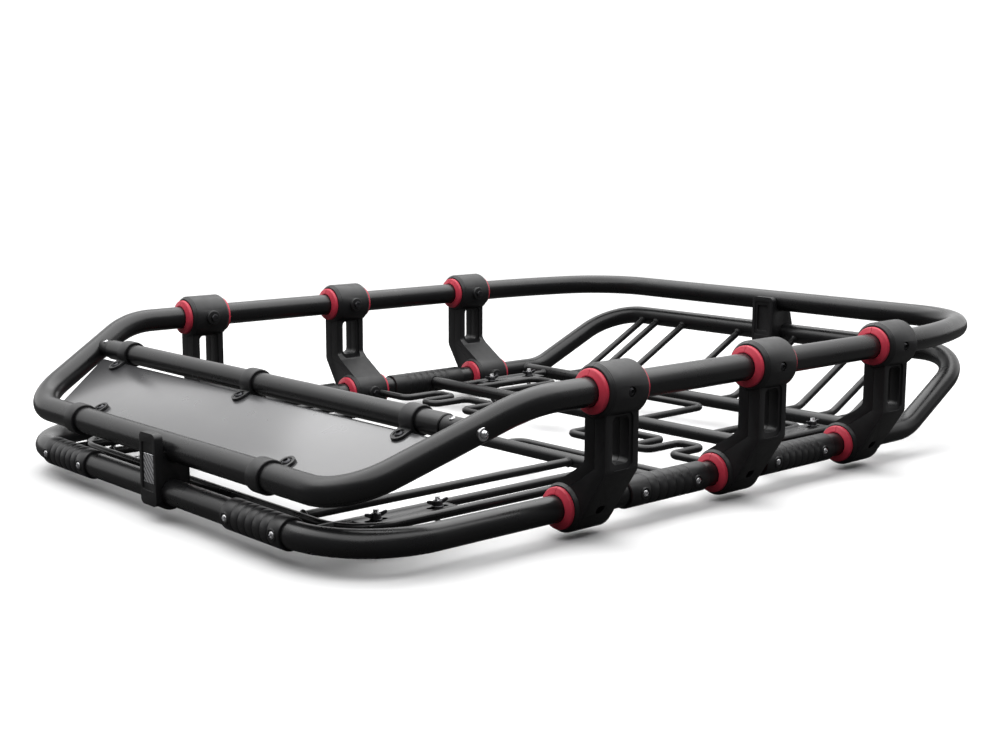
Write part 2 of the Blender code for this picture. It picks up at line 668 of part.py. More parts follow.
def fairing_clamp(x, along, direction, tube_r, reach):
    """A pipe clamp with a screwed tab lying on the plate; direction is +1 down the slope."""
    bore = round_bore(tube_r)
    ring_r = bore + CLAMP_WALL
    profile = [(bore, 0), (ring_r, 0), (ring_r, 2 * CLAMP_HALF), (bore, 2 * CLAMP_HALF)]
    ring = turned("ring", profile, on_slope(x - CLAMP_HALF, along), (1, 0, 0))
    low = FAIR_PLATE_LIFT + FAIR_PLATE_THICK / 2 + GAP
    near = math.sqrt(bore ** 2 - low ** 2) + 1.8
    half = CLAMP_HALF - 1
    end = [(x + half * math.cos(a), along + direction * (reach + half * math.sin(a)))
           for a in (math.pi * k / 6 for k in range(7))]
    outline = [(x - half, along + direction * near), (x + half, along + direction * near)] + end
    tab = slope_prism("tab", outline, low, low + TAB_THICK)
    screw_foot = on_slope(x, along + direction * reach, low + 3)
    screw = cylinder("screw", screw_foot, screw_foot + SLOPE_NORMAL * 4.5 * MM, 7.0, 16, 5.0)
    return joined(ring, tab, screw)


# --- centre blocks --------------------------------------------------------------------------
def centre_block(half, slab, heights, pocket, body, bars):
    """A block joining an upper bar and the lower bar beside it.

    slab holds its front and back Y, heights its lowest and highest Z, pocket a cutter, body an
    outline in Y and Z, and bars the Y, Z and radius of both bars, the clamped one last.
    """
    low, high = heights
    corners = chamfered((BLOCK_X - half, low), (BLOCK_X + half, high), BLOCK_CORNER)
    face = prism("slab", corners, slab[0], slab[1], "Y", BLOCK_BEVEL)
    back = prism("back", body, BLOCK_X - half + 1, BLOCK_X + half - 1, "X")
    y, z, radius = bars[-1]
    collar = cylinder("collar", at(BLOCK_X - half + 2, y, z), at(BLOCK_X + half - 2, y, z), radius + 7)
    whole = cut(joined(face, back, collar), pocket)
    for y, z, radius in bars:
        bore_ends = [at(BLOCK_X + step, y, z) for step in (-60, 60)]
        whole = cut(whole, cylinder("bore", *bore_ends, round_bore(radius)))
    return whole


def build_front_block():
    face_y = -709.0
    low, high = REFLECTOR_Z
    reach = REFLECTOR_HALF + 0.5
    around = chamfered((BLOCK_X - reach, low - 0.5), (BLOCK_X + reach, high + 0.5), 2.0)
    recess = prism("recess", around, face_y - 5, face_y + REFLECTOR_THICK + 1.5, "Y")
    block = centre_block(FRONT_BLOCK_HALF, (face_y, -696.5), (-180.0, -80.0), recess,
                         [(-697, -178), (-697, -106), (-656, -112), (-656, -178)],
                         ((FRONT_BAR_Y, FRONT_BAR_Z, RIM_R), (LOW_FRONT_Y, DECK_Z, LOW_R)))
    finish("front_block", block, "bracket_plastic")
    outline = chamfered((BLOCK_X - REFLECTOR_HALF, low), (BLOCK_X + REFLECTOR_HALF, high), 2.0)
    lens = prism("lens", outline, face_y + 1.2, face_y + 1.2 + REFLECTOR_THICK, "Y", 0.8)
    finish("front_reflector", lens, "reflector")


def build_rear_block():
    pocket = prism("pocket", chamfered((BLOCK_X - 13, -56), (BLOCK_X + 13, -6), 3.0), 600.0, 629.5, "Y")
    block = centre_block(REAR_BLOCK_HALF, (624.0, 632.5), (-79.0, 10.0), pocket,
                         [(632, -77), (632, 0), (676, -10), (686, -44), (686, -77)],
                         ((REAR_BAR_Y, REAR_BAR_Z, RIM_R), (LOW_REAR_Y, LOW_REAR_Z, LOW_R)))
    finish("rear_block", block, "bracket_plastic")


# --- U-bolts and wing nuts ---------------------------------------------------------------------
def build_mounts():
    bottom = BOLT_R - AXIS_HEIGHT
    for place, middle in MOUNT_YS.items():
        for side, word in ((-1, "left"), (1, "right")):
            x = side * MOUNT_X
            near, far = middle - LEG_SPACING / 2, middle + LEG_SPACING / 2
            turns = [at(x, near, BOLT_TOP), at(x, near, bottom), at(x, far, bottom), at(x, far, BOLT_TOP)]
            path = filleted(turns, (BOLT_BEND_R, BOLT_BEND_R))
            finish(f"u_bolt_{place}_{word}", tube("bolt", path, BOLT_R), "zinc_steel", at(x, middle, bottom))
            for which, y in (("a", near), ("b", far)):
                axis = at(x, y, PLATE_TOP + GAP)
                finish(f"wing_nut_{place}_{word}_{which}", wing_nut(axis), "zinc_steel", axis)


def wing_nut(foot):
    """A wing nut standing on foot, its wings along Y and above the deck rods."""
    sides = 10
    bore = round_bore(BOLT_R, 0.05, sides)
    hub = turned("hub", [(bore, 0), (8.0, 0), (8.0, 1.5), (6.0, 8.5), (bore, 8.5)], foot, (0, 0, 1), sides)
    wings = []
    for way in (-1, 1):
        outline = [(way * u, v) for u, v in WING_OUTLINE]
        wing = prism("wing", outline, -WING_HALF_THICK, WING_HALF_THICK, "X")
        wing.data.transform(Matrix.Translation(foot - at(0, 0, 0)))
        wings.append(wing)
    return joined(hub, *wings)


build_rims()
build_front_bar()
build_front_frame()
build_mid_frame()
build_rear_frame()
build_sleeves()
build_brackets()
build_fairing()
build_front_block()
build_rear_block()
build_mounts()

CUTTERS.hide_render = True
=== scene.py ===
"""Looks of the roof cargo basket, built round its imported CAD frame.

Sizes are written in millimetres.  Places come from the frame's boxes where a CAD node gives them;
heights are counted from the upper rim's axis, and at() turns a place into metres.
"""
import math

import bmesh
import bpy
from mathutils import Matrix, Vector


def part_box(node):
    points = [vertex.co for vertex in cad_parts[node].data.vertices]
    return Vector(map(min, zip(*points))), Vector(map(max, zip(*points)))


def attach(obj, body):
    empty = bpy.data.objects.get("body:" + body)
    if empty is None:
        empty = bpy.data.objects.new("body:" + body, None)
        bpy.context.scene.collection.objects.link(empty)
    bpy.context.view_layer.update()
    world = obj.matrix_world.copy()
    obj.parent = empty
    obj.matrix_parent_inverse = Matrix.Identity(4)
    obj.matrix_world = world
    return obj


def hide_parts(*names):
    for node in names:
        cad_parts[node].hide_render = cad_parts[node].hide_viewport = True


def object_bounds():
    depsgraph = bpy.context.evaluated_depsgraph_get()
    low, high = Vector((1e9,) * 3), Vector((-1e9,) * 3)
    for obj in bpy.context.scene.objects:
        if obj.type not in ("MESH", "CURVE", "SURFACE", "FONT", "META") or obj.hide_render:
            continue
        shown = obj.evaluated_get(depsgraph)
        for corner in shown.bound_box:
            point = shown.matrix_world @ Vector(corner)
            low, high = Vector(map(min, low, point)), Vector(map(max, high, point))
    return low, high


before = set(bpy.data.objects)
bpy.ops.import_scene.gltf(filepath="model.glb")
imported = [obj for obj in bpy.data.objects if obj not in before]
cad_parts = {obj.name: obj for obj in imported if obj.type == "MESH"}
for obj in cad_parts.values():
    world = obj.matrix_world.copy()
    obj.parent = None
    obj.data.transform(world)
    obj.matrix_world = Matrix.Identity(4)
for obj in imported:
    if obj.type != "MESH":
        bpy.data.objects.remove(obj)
cad_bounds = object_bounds()

MM = 0.001
ROUND = 48                     # sides of the large tubes and rings
RIM_R = 19.0
LOW_R = 18.0
ROD_R = 6.35
THIN_ROD_R = 6.0
BOLT_R = 4.0
SLEEVE_R = 21.4
GAP = 0.3                      # clearance between pieces that touch


# --- places read from the frame -----------------------------------------------------
def cad_box(node):
    """A node's lowest and highest corners in millimetres."""
    low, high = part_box(node)
    return Vector(low) / MM, Vector(high) / MM


def cad_middle(node):
    low, high = cad_box(node)
    return (low + high) / 2


front_low, front_high = cad_box("upper_rim_front")
rear_low, rear_high = cad_box("upper_rim_rear")
AXIS_HEIGHT = front_high.z - RIM_R
RIM_JOINT_Y = (front_high.y + rear_low.y) / 2


def at(x, y, z):
    """A place in metres: y from the joint of the two rims, z from the upper rim's axis."""
    return Vector((x, y + RIM_JOINT_Y, z + AXIS_HEIGHT)) * MM


def local(point):
    """A place read from the frame, in the millimetres that at() takes."""
    return Vector((point.x, point.y - RIM_JOINT_Y, point.z - AXIS_HEIGHT))


RIM_X = cad_middle("bushing_upper_middle_right").x
LOW_X = cad_middle("bushing_lower_middle_right").x
DECK_Z = local(cad_middle("bushing_lower_middle_right")).z
FRONT_BAR_Y = local(front_low).y + RIM_R
FRONT_BAR_Z = local(front_low).z + RIM_R
FRONT_BEND_Y = -457.7
FRONT_TOE_IN = 88.5
FRONT_BENDS = (143.0, 95.0)    # each rail's bend, then the corner into the bar
REAR_BAR_Y = local(rear_high).y - RIM_R
REAR_BAR_Z = local(rear_high).z - RIM_R
REAR_BEND_Y = 449.4
REAR_TOE_IN = 67.0
REAR_BENDS = (690.0, 142.0)
LOW_FRONT_Y = local(cad_middle("lower_front_bar")).y
LOW_REAR_Y = local(cad_box("rear_frame")[1]).y - LOW_R
LOW_REAR_Z = local(cad_box("rear_frame")[1]).z - LOW_R
LOW_REAR_BEND_Y = 456.2
LOW_REAR_TOE_IN = 15.7
LOW_REAR_BENDS = (111.0, 91.0)
LOW_FRONT_CORNER_R = 122.0
BAR_SPLIT_X = 248.0            # middle of the sleeves on the front bar
CROSS_FRONT_Y = -138.0
SHORT_CROSS_Y = -98.0
SHORT_CROSS_END_X = 95.0
CROSS_MID_Y = 157.0
CROSS_REAR_Y = 408.0
CROSS_R = 11.0
REAR_CROSS_R = 12.0
FRONT_ROD_Y = -630.0
FRONT_ROD_XS = (255.0, 323.0)
OUTER_ROD_END_Y = -672.0
PERIMETER_ROD_X = 364.0
PERIMETER_CORNER_R = 65.0
LOOP_XS = (262.0, 324.0)       # long narrow loop beside each rear plate
LOOP_END_Y = 332.0
ROD_BEND_R = 20.0
RISER_XS = (68.0, 213.0, 285.0, 325.0)
RISER_BEND_Y = 473.0
RISER_BEND_R = 60.0
SERPENTINE_XS = (322.0, 275.0, 240.0, 164.0, 104.0)
SERPENTINE_YS = (4.0, 80.0)
SERPENTINE_END_X = 396.0
SERPENTINE_TAIL = (96.0, 352.0)
SERPENTINE_BEND_R = 14.0
SERPENTINE_TAIL_R = 22.0
PLATE_HALF = (20.0, 75.0)
PLATE_THICK = 4.0
PLATE_TOP = -158.0
LEG_SPACING = 100.0            # between the two legs of a U-bolt
FAIR_TUBE_R = 15.9


# --- mesh tools ---------------------------------------------------------------------
def filleted(points, radii, steps=14):
    """Corner points with each inner corner turned into an arc of its radius."""
    path = [points[0]]
    for before, corner, after, radius in zip(points, points[1:], points[2:], radii):
        back = (before - corner).normalized()
        ahead = (after - corner).normalized()
        half = back.angle(ahead) / 2
        tangent = radius * MM / math.tan(half)
        centre = corner + (back + ahead).normalized() * (radius * MM / math.sin(half))
        first = corner + back * tangent - centre
        last = corner + ahead * tangent - centre
        sweep_angle = math.pi - 2 * half
        for k in range(steps + 1):
            turned = sweep_angle * k / steps
            share = first * math.sin(sweep_angle - turned) + last * math.sin(turned)
            path.append(centre + share / math.sin(sweep_angle))
    return path + [points[-1]]


def mirrored_path(half):
    return half + [Vector((-p.x, p.y, p.z)) for p in reversed(half)]


def sweep(shape, path, radius, sides=ROUND):
    """Adds a round bar along a path; radius is millimetres, or a function of length and angle."""
    tangents = []
    for k in range(len(path)):
        before = path[max(k - 1, 0)]
        after = path[min(k + 1, len(path) - 1)]
        tangents.append((after - before).normalized())
    side = tangents[0].orthogonal().normalized()
    rings = []
    travelled = 0.0
    for k, (point, tangent) in enumerate(zip(path, tangents)):
        side = (side - tangent * side.dot(tangent)).normalized()
        other = tangent.cross(side)
        if k:
            travelled += (point - path[k - 1]).length / MM
        ring = []
        for j in range(sides):
            angle = math.tau * j / sides
            size = radius(travelled, angle) if callable(radius) else radius
            out = side * math.cos(angle) + other * math.sin(angle)
            ring.append(shape.verts.new(point + out * size * MM))
        rings.append(ring)
    for first, second in zip(rings, rings[1:]):
        for j in range(sides):
            shape.faces.new((first[j], first[(j + 1) % sides], second[(j + 1) % sides], second[j]))
    shape.faces.new(list(reversed(rings[0])))
    shape.faces.new(rings[-1])


def lathe(shape, profile, foot, direction, steps=ROUND, arcs=((0.0, math.tau),)):
    """Adds a turned piece: (radius, distance) points spun about direction from foot, in arcs."""
    axis = Vector(direction).normalized()
    side = axis.orthogonal().normalized()
    other = axis.cross(side)
    for start, end in arcs:
        whole = end - start > math.tau - 1e-6
        count = max(4, round(steps * (end - start) / math.tau))
        columns = []
        for k in range(count if whole else count + 1):
            angle = start + (end - start) * k / count
            out = side * math.cos(angle) + other * math.sin(angle)
            columns.append([shape.verts.new(foot + (out * r + axis * d) * MM) for r, d in profile])
        pairs = list(zip(columns, columns[1:]))
        if whole:
            pairs.append((columns[-1], columns[0]))
        size = len(profile)
        for first, second in pairs:
            for j in range(size):
                after = (j + 1) % size
                shape.faces.new((first[j], second[j], second[after], first[after]))
        if not whole:
            shape.faces.new(columns[0])
            shape.faces.new(list(reversed(columns[-1])))


def prism(shape, outline, low, high, axis="Z", place=None):
    """Adds a flat outline pushed from low to high along an axis, in millimetres."""
    def spot(u, v, w):
        if axis == "X":
            return at(w, u, v)
        if axis == "Y":
            return at(u, w, v)
        return at(u, v, w)

    place = place or spot
    lower = [shape.verts.new(place(u, v, low)) for u, v in outline]
    upper = [shape.verts.new(place(u, v, high)) for u, v in outline]
    count = len(outline)
    for j in range(count):
        shape.faces.new((lower[j], lower[(j + 1) % count], upper[(j + 1) % count], upper[j]))
    shape.faces.new(list(reversed(lower)))
    shape.faces.new(upper)


def rounded(corners, radius, steps=6):
    """A closed 2D outline with every corner rounded; radius may be one number or one a corner."""
    count = len(corners)
    radii = radius if isinstance(radius, (list, tuple)) else [radius] * count
    points = []
    for k in range(count):
        corner = Vector(corners[k])
        back = Vector(corners[k - 1]) - corner
        ahead = Vector(corners[(k + 1) % count]) - corner
        if radii[k] <= 0:
            points.append(tuple(corner))
            continue
        half = back.angle(ahead) / 2
        tangent = min(radii[k] / math.tan(half), 0.48 * back.length, 0.48 * ahead.length)
        size = tangent * math.tan(half)
        back.normalize()
        ahead.normalize()
        centre = corner + (back + ahead).normalized() * (size / math.sin(half))
        first = corner + back * tangent - centre
        last = corner + ahead * tangent - centre
        sweep_angle = math.pi - 2 * half
        for j in range(steps + 1):
            turned = sweep_angle * j / steps
            share = first * math.sin(sweep_angle - turned) + last * math.sin(turned)
            points.append(tuple(centre + share / math.sin(sweep_angle)))
    return points


def rectangle(u, v, half_u, half_v):
    return [(u - half_u, v - half_v), (u + half_u, v - half_v),
            (u + half_u, v + half_v), (u - half_u, v + half_v)]


def loose(shape, name="loose"):
    """A scratch object from a bmesh, faces turned outwards."""
    bmesh.ops.recalc_face_normals(shape, faces=shape.faces)
    mesh = bpy.data.meshes.new(name)
    shape.to_mesh(mesh)
    shape.free()
    obj = bpy.data.objects.new(name, mesh)
    bpy.context.scene.collection.objects.link(obj)
    return obj


def solid(build, *args, **kwargs):
    """A scratch object made by one of the adders above."""
    shape = bmesh.new()
    build(shape, *args, **kwargs)
    return loose(shape)


def settled(obj):
    """The object's mesh with its modifiers applied, as a bmesh; the object is removed."""
    graph = bpy.context.evaluated_depsgraph_get()
    mesh = bpy.data.meshes.new_from_object(obj.evaluated_get(graph))
    shape = bmesh.new()
    shape.from_mesh(mesh)
    bpy.data.objects.remove(obj, do_unlink=True)
    bpy.data.meshes.remove(mesh)
    return shape


def carve(base, others, operation):
    """The base joined with, cut by or limited to the other scratch objects."""
    for other in others:
        mod = base.modifiers.new("join", "BOOLEAN")
        mod.operation = operation
        mod.solver = "EXACT"
        mod.object = other
        base = loose(settled(base))
        bpy.data.objects.remove(other, do_unlink=True)
    return base


def softened(obj, width, steps=3, limit_deg=38):
    """Rounds an object's sharp edges and gives it back as a bmesh."""
    weld = obj.modifiers.new("weld", "WELD")
    weld.merge_threshold = 0.02 * MM
    mod = obj.modifiers.new("soften", "BEVEL")
    mod.width = width * MM
    mod.segments = steps
    mod.limit_method = "ANGLE"
    mod.angle_limit = math.radians(limit_deg)
    mod.use_clamp_overlap = True
    mod.miter_outer = "MITER_ARC"
    return settled(obj)


def moved(shape, offset=(0, 0, 0), mirror=False):
    """A copy of a bmesh, mirrored in X if asked and then moved by millimetres."""
    copy = shape.copy()
    if mirror:
        bmesh.ops.scale(copy, vec=(-1, 1, 1), verts=copy.verts)
        bmesh.ops.reverse_faces(copy, faces=copy.faces)
    bmesh.ops.translate(copy, vec=Vector(offset) * MM, verts=copy.verts)
    return copy


def piece(name, shape, material, node=None, body="basket", sharp_deg=32):
    """Hands a bmesh over as a finished piece of the object."""
    mesh = bpy.data.meshes.new(name)
    bmesh.ops.recalc_face_normals(shape, faces=shape.faces)
    shape.to_mesh(mesh)
    shape.free()
    mesh.shade_smooth()
    mesh.set_sharp_from_angle(angle=math.radians(sharp_deg))
    mesh.materials.append(material)
    obj = bpy.data.objects.new(name, mesh)
    bpy.context.scene.collection.objects.link(obj)
    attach(obj, body)
    if node:
        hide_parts(node)
    return obj


SIDES = (("left", -1), ("right", 1))


def both_sides(stem, shape, material, replaces=True):
    """A right-hand piece and its mirror image on the left; the shape is freed."""
    for word, side in SIDES:
        name = f"{stem}_{word}"
        node = name if replaces else None
        piece(f"{name}_look", moved(shape, mirror=side < 0), material, node)
    shape.free()


# --- materials ----------------------------------------------------------------------
class Surface:
    """A Principled material with its own procedural colour, roughness and bump."""

    def __init__(self, name, metallic=0.0, ior=1.45):
        self.mat = bpy.data.materials.new(name)
        self.mat.use_nodes = True
        self.nodes = self.mat.node_tree.nodes
        self.links = self.mat.node_tree.links
        self.shader = self.nodes["Principled BSDF"]
        self.shader.inputs["Metallic"].default_value = metallic
        self.shader.inputs["IOR"].default_value = ior
        self.place = self.nodes.new("ShaderNodeTexCoord").outputs["Object"]
        self.height = None

    def noise(self, scale, detail=3.0, roughness=0.55, stretch=None):
        node = self.nodes.new("ShaderNodeTexNoise")
        node.inputs["Scale"].default_value = scale
        node.inputs["Detail"].default_value = detail
        node.inputs["Roughness"].default_value = roughness
        source = self.place
        if stretch:
            mapping = self.nodes.new("ShaderNodeMapping")
            mapping.inputs["Scale"].default_value = stretch
            self.links.new(source, mapping.inputs["Vector"])
            source = mapping.outputs["Vector"]
        self.links.new(source, node.inputs["Vector"])
        return node.outputs["Fac"]

    def cells(self, scale):
        node = self.nodes.new("ShaderNodeTexVoronoi")
        node.feature = "SMOOTH_F1"
        node.inputs["Scale"].default_value = scale
        self.links.new(self.place, node.inputs["Vector"])
        return node.outputs["Distance"]

    def colour(self, value, first, last, low=0.3, high=0.7):
        ramp = self.nodes.new("ShaderNodeValToRGB")
        ramp.color_ramp.elements[0].position = low
        ramp.color_ramp.elements[0].color = (*first, 1.0)
        ramp.color_ramp.elements[1].position = high
        ramp.color_ramp.elements[1].color = (*last, 1.0)
        self.links.new(value, ramp.inputs["Fac"])
        self.links.new(ramp.outputs["Color"], self.shader.inputs["Base Color"])

    def roughness(self, value, first, last):
        span = self.nodes.new("ShaderNodeMapRange")
        span.inputs["From Min"].default_value = 0.25
        span.inputs["From Max"].default_value = 0.75
        span.inputs["To Min"].default_value = first
        span.inputs["To Max"].default_value = last
        self.links.new(value, span.inputs["Value"])
        self.links.new(span.outputs["Result"], self.shader.inputs["Roughness"])

    def bump(self, value, strength, distance):
        node = self.nodes.new("ShaderNodeBump")
        node.inputs["Strength"].default_value = strength
        node.inputs["Distance"].default_value = distance * MM
        self.links.new(value, node.inputs["Height"])
        if self.height:
            self.links.new(self.height, node.inputs["Normal"])
        self.height = node.outputs["Normal"]
        self.links.new(self.height, self.shader.inputs["Normal"])


def powder_coat():
    look = Surface("powder_coat_black", ior=1.5)
    look.colour(look.noise(9.0, 4.0), (0.0055, 0.0055, 0.0060), (0.0095, 0.0095, 0.0100))
    look.roughness(look.noise(34.0, 5.0), 0.25, 0.33)
    look.bump(look.noise(420.0, 2.0), 0.14, 0.10)
    look.bump(look.cells(1500.0), 0.08, 0.04)
    return look.mat


def bracket_plastic():
    look = Surface("moulded_black_plastic", ior=1.5)
    look.colour(look.noise(14.0, 5.0), (0.0065, 0.0065, 0.0072), (0.0110, 0.0110, 0.0118))
    look.roughness(look.noise(60.0, 4.0), 0.36, 0.48)
    look.bump(look.cells(900.0), 0.24, 0.09)
    look.bump(look.noise(260.0, 2.0), 0.10, 0.12)
    return look.mat


def red_plastic():
    look = Surface("red_bushing_plastic", ior=1.45)
    look.colour(look.noise(26.0, 4.0), (0.50, 0.028, 0.055), (0.62, 0.045, 0.080))
    look.roughness(look.noise(90.0, 3.0), 0.38, 0.50)
    look.bump(look.noise(500.0, 2.0), 0.15, 0.08)
    return look.mat


def fairing_sheet():
    look = Surface("fairing_grey_sheet", ior=1.5)
    look.colour(look.noise(5.0, 4.0), (0.068, 0.068, 0.071), (0.082, 0.082, 0.085))
    look.roughness(look.noise(12.0, 4.0), 0.26, 0.34)
    look.bump(look.noise(240.0, 2.0), 0.08, 0.06)
    look.shader.inputs["Coat Weight"].default_value = 1.0
    look.shader.inputs["Coat Roughness"].default_value = 0.18
    return look.mat


def bright_steel():
    look = Surface("bright_zinc_steel", metallic=1.0)
    look.colour(look.noise(160.0, 3.0), (0.56, 0.56, 0.57), (0.74, 0.74, 0.75))
    look.roughness(look.noise(320.0, 3.0), 0.18, 0.34)
    look.bump(look.noise(700.0, 2.0, stretch=(1, 1, 4)), 0.12, 0.05)
    return look.mat


def black_steel():
    look = Surface("black_oxide_steel", metallic=0.85)
    look.colour(look.noise(200.0, 3.0), (0.035, 0.035, 0.038), (0.075, 0.075, 0.08))
    look.roughness(look.noise(300.0, 3.0), 0.30, 0.45)
    look.bump(look.noise(800.0, 2.0), 0.10, 0.04)
    return look.mat


def reflector():
    """Silver reflector: fine slanting prism rows under a clear skin."""
    look = Surface("silver_reflector", metallic=0.75)
    rows = look.nodes.new("ShaderNodeTexWave")
    rows.bands_direction = "DIAGONAL"
    rows.wave_profile = "TRI"
    rows.inputs["Scale"].default_value = 75.0
    look.links.new(look.place, rows.inputs["Vector"])
    look.colour(rows.outputs["Fac"], (0.22, 0.22, 0.24), (0.95, 0.95, 0.97), 0.12, 0.6)
    look.roughness(look.noise(200.0, 2.0), 0.14, 0.26)
    look.bump(rows.outputs["Fac"], 0.5, 0.5)
    look.shader.inputs["Coat Weight"].default_value = 1.0
    look.shader.inputs["Coat Roughness"].default_value = 0.06
    return look.mat


POWDER = powder_coat()
PLASTIC = bracket_plastic()
RED = red_plastic()
SHEET = fairing_sheet()
STEEL = bright_steel()
DARK_STEEL = black_steel()
SILVER = reflector()


# --- rims ---------------------------------------------------------------------------
def front_rim_path(end_y):
    half = [at(-RIM_X, end_y, 0), at(-RIM_X, FRONT_BEND_Y, 0),
            at(FRONT_TOE_IN - RIM_X, FRONT_BAR_Y, FRONT_BAR_Z)]
    return filleted(mirrored_path(half), FRONT_BENDS + FRONT_BENDS[::-1])


def rear_rim_path(end_y):
    half = [at(-RIM_X, end_y, 0), at(-RIM_X, REAR_BEND_Y, 0),
            at(REAR_TOE_IN - RIM_X, REAR_BAR_Y, REAR_BAR_Z)]
    return filleted(mirrored_path(half), REAR_BENDS + REAR_BENDS[::-1])


def low_corner_path(side):
    start = local(cad_box("lower_front_bar")[1]).x + GAP
    end = local(cad_middle("sleeve_side_front_right")).y
    return filleted([at(side * start, LOW_FRONT_Y, DECK_Z), at(side * LOW_X, LOW_FRONT_Y, DECK_Z),
                     at(side * LOW_X, end, DECK_Z)], (LOW_FRONT_CORNER_R,))


def low_rear_path():
    start = local(cad_middle("sleeve_side_rear_right")).y
    half = [at(-LOW_X, start, DECK_Z), at(-LOW_X, LOW_REAR_BEND_Y, DECK_Z),
            at(LOW_REAR_TOE_IN - LOW_X, LOW_REAR_Y, LOW_REAR_Z)]
    return filleted(mirrored_path(half), LOW_REAR_BENDS + LOW_REAR_BENDS[::-1])


def weld(shape, centre, direction, radius):
    """A weld bead round a rod's end."""
    bead = [(radius + 0.1, -2.6), (radius + 1.5, -1.2), (radius + 2.2, 0.8), (radius + 0.1, 3.4)]
    lathe(shape, bead, centre, direction, 20)


def socket_screw(shape, foot, direction, radius, height):
    """A button-head screw with a socket in its head."""
    axis = Vector(direction).normalized()
    dome = [(0.01, 0)]
    dome += [(radius * math.cos(a) ** 0.7, 0.35 + (height - 0.35) * math.sin(a))
             for a in (math.radians(d) for d in (0, 15, 32, 50, 62))]
    lip = radius * 0.52
    dome += [(lip, height), (lip * 0.94, height * 0.35), (0.01, height * 0.30)]
    lathe(shape, dome, foot, axis, 30)


def build_rims():
    shape = bmesh.new()
    sweep(shape, front_rim_path(-GAP / 2), RIM_R)
    piece("upper_rim_front_look", shape, POWDER, "upper_rim_front")
    shape = bmesh.new()
    sweep(shape, rear_rim_path(GAP / 2), RIM_R)
    piece("upper_rim_rear_look", shape, POWDER, "upper_rim_rear")
    shape = bmesh.new()
    end = local(cad_box("lower_front_bar")[1]).x
    sweep(shape, [at(-end, LOW_FRONT_Y, DECK_Z), at(end, LOW_FRONT_Y, DECK_Z)], LOW_R)
    piece("lower_front_bar_look", shape, POWDER, "lower_front_bar")


# --- deck ---------------------------------------------------------------------------
def mount_plate(middle):
    """A slotted plate for one U-bolt with softened edges, at its U-bolt's place."""
    base = solid(prism, rounded(rectangle(middle.x, middle.y, *PLATE_HALF), 3.0, 3),
                 PLATE_TOP - PLATE_THICK, PLATE_TOP)
    slots = []
    for way in (-1, 1):
        outline = rectangle(middle.x, middle.y + way * LEG_SPACING / 2, BOLT_R + 0.6, 17.0)
        slots.append(solid(prism, rounded(outline, BOLT_R + 0.5, 6), PLATE_TOP - 10, PLATE_TOP + 5))
    return softened(carve(base, slots, "DIFFERENCE"), 0.6, 2)


def add(shape, other):
    """Adds another bmesh's faces to a shape and frees it."""
    mesh = bpy.data.meshes.new("joined")
    other.to_mesh(mesh)
    other.free()
    shape.from_mesh(mesh)
    bpy.data.meshes.remove(mesh)


def rod(shape, points, radius=ROD_R, radii=(), sides=20, steps=8):
    sweep(shape, filleted(points, radii, steps) if radii else points, radius, sides)


def build_front_frame():
    shape = bmesh.new()
    inner, outer = FRONT_ROD_XS
    reach = CROSS_FRONT_Y - CROSS_R - GAP
    corner = PERIMETER_ROD_X
    rod(shape, [at(-corner, reach, DECK_Z), at(-corner, FRONT_ROD_Y, DECK_Z),
                at(corner, FRONT_ROD_Y, DECK_Z), at(corner, reach, DECK_Z)],
        radii=(PERIMETER_CORNER_R, PERIMETER_CORNER_R))
    for word, side in SIDES:
        sweep(shape, low_corner_path(side), LOW_R)
        rod(shape, [at(side * inner, reach, DECK_Z), at(side * inner, FRONT_ROD_Y, DECK_Z)])
        rod(shape, [at(side * outer, reach, DECK_Z), at(side * outer, OUTER_ROD_END_Y, DECK_Z)])
        weld(shape, at(side * inner, FRONT_ROD_Y + ROD_R, DECK_Z), (0, 1, 0), ROD_R)
        weld(shape, at(side * outer, LOW_FRONT_Y + LOW_R, DECK_Z), (0, 1, 0), ROD_R)
        for x in (inner, outer, corner):
            weld(shape, at(side * x, reach, DECK_Z), (0, -1, 0), ROD_R)
        add(shape, mount_plate(local(cad_middle(f"u_bolt_front_{word}"))))
    piece("front_frame_look", shape, POWDER, "front_frame")


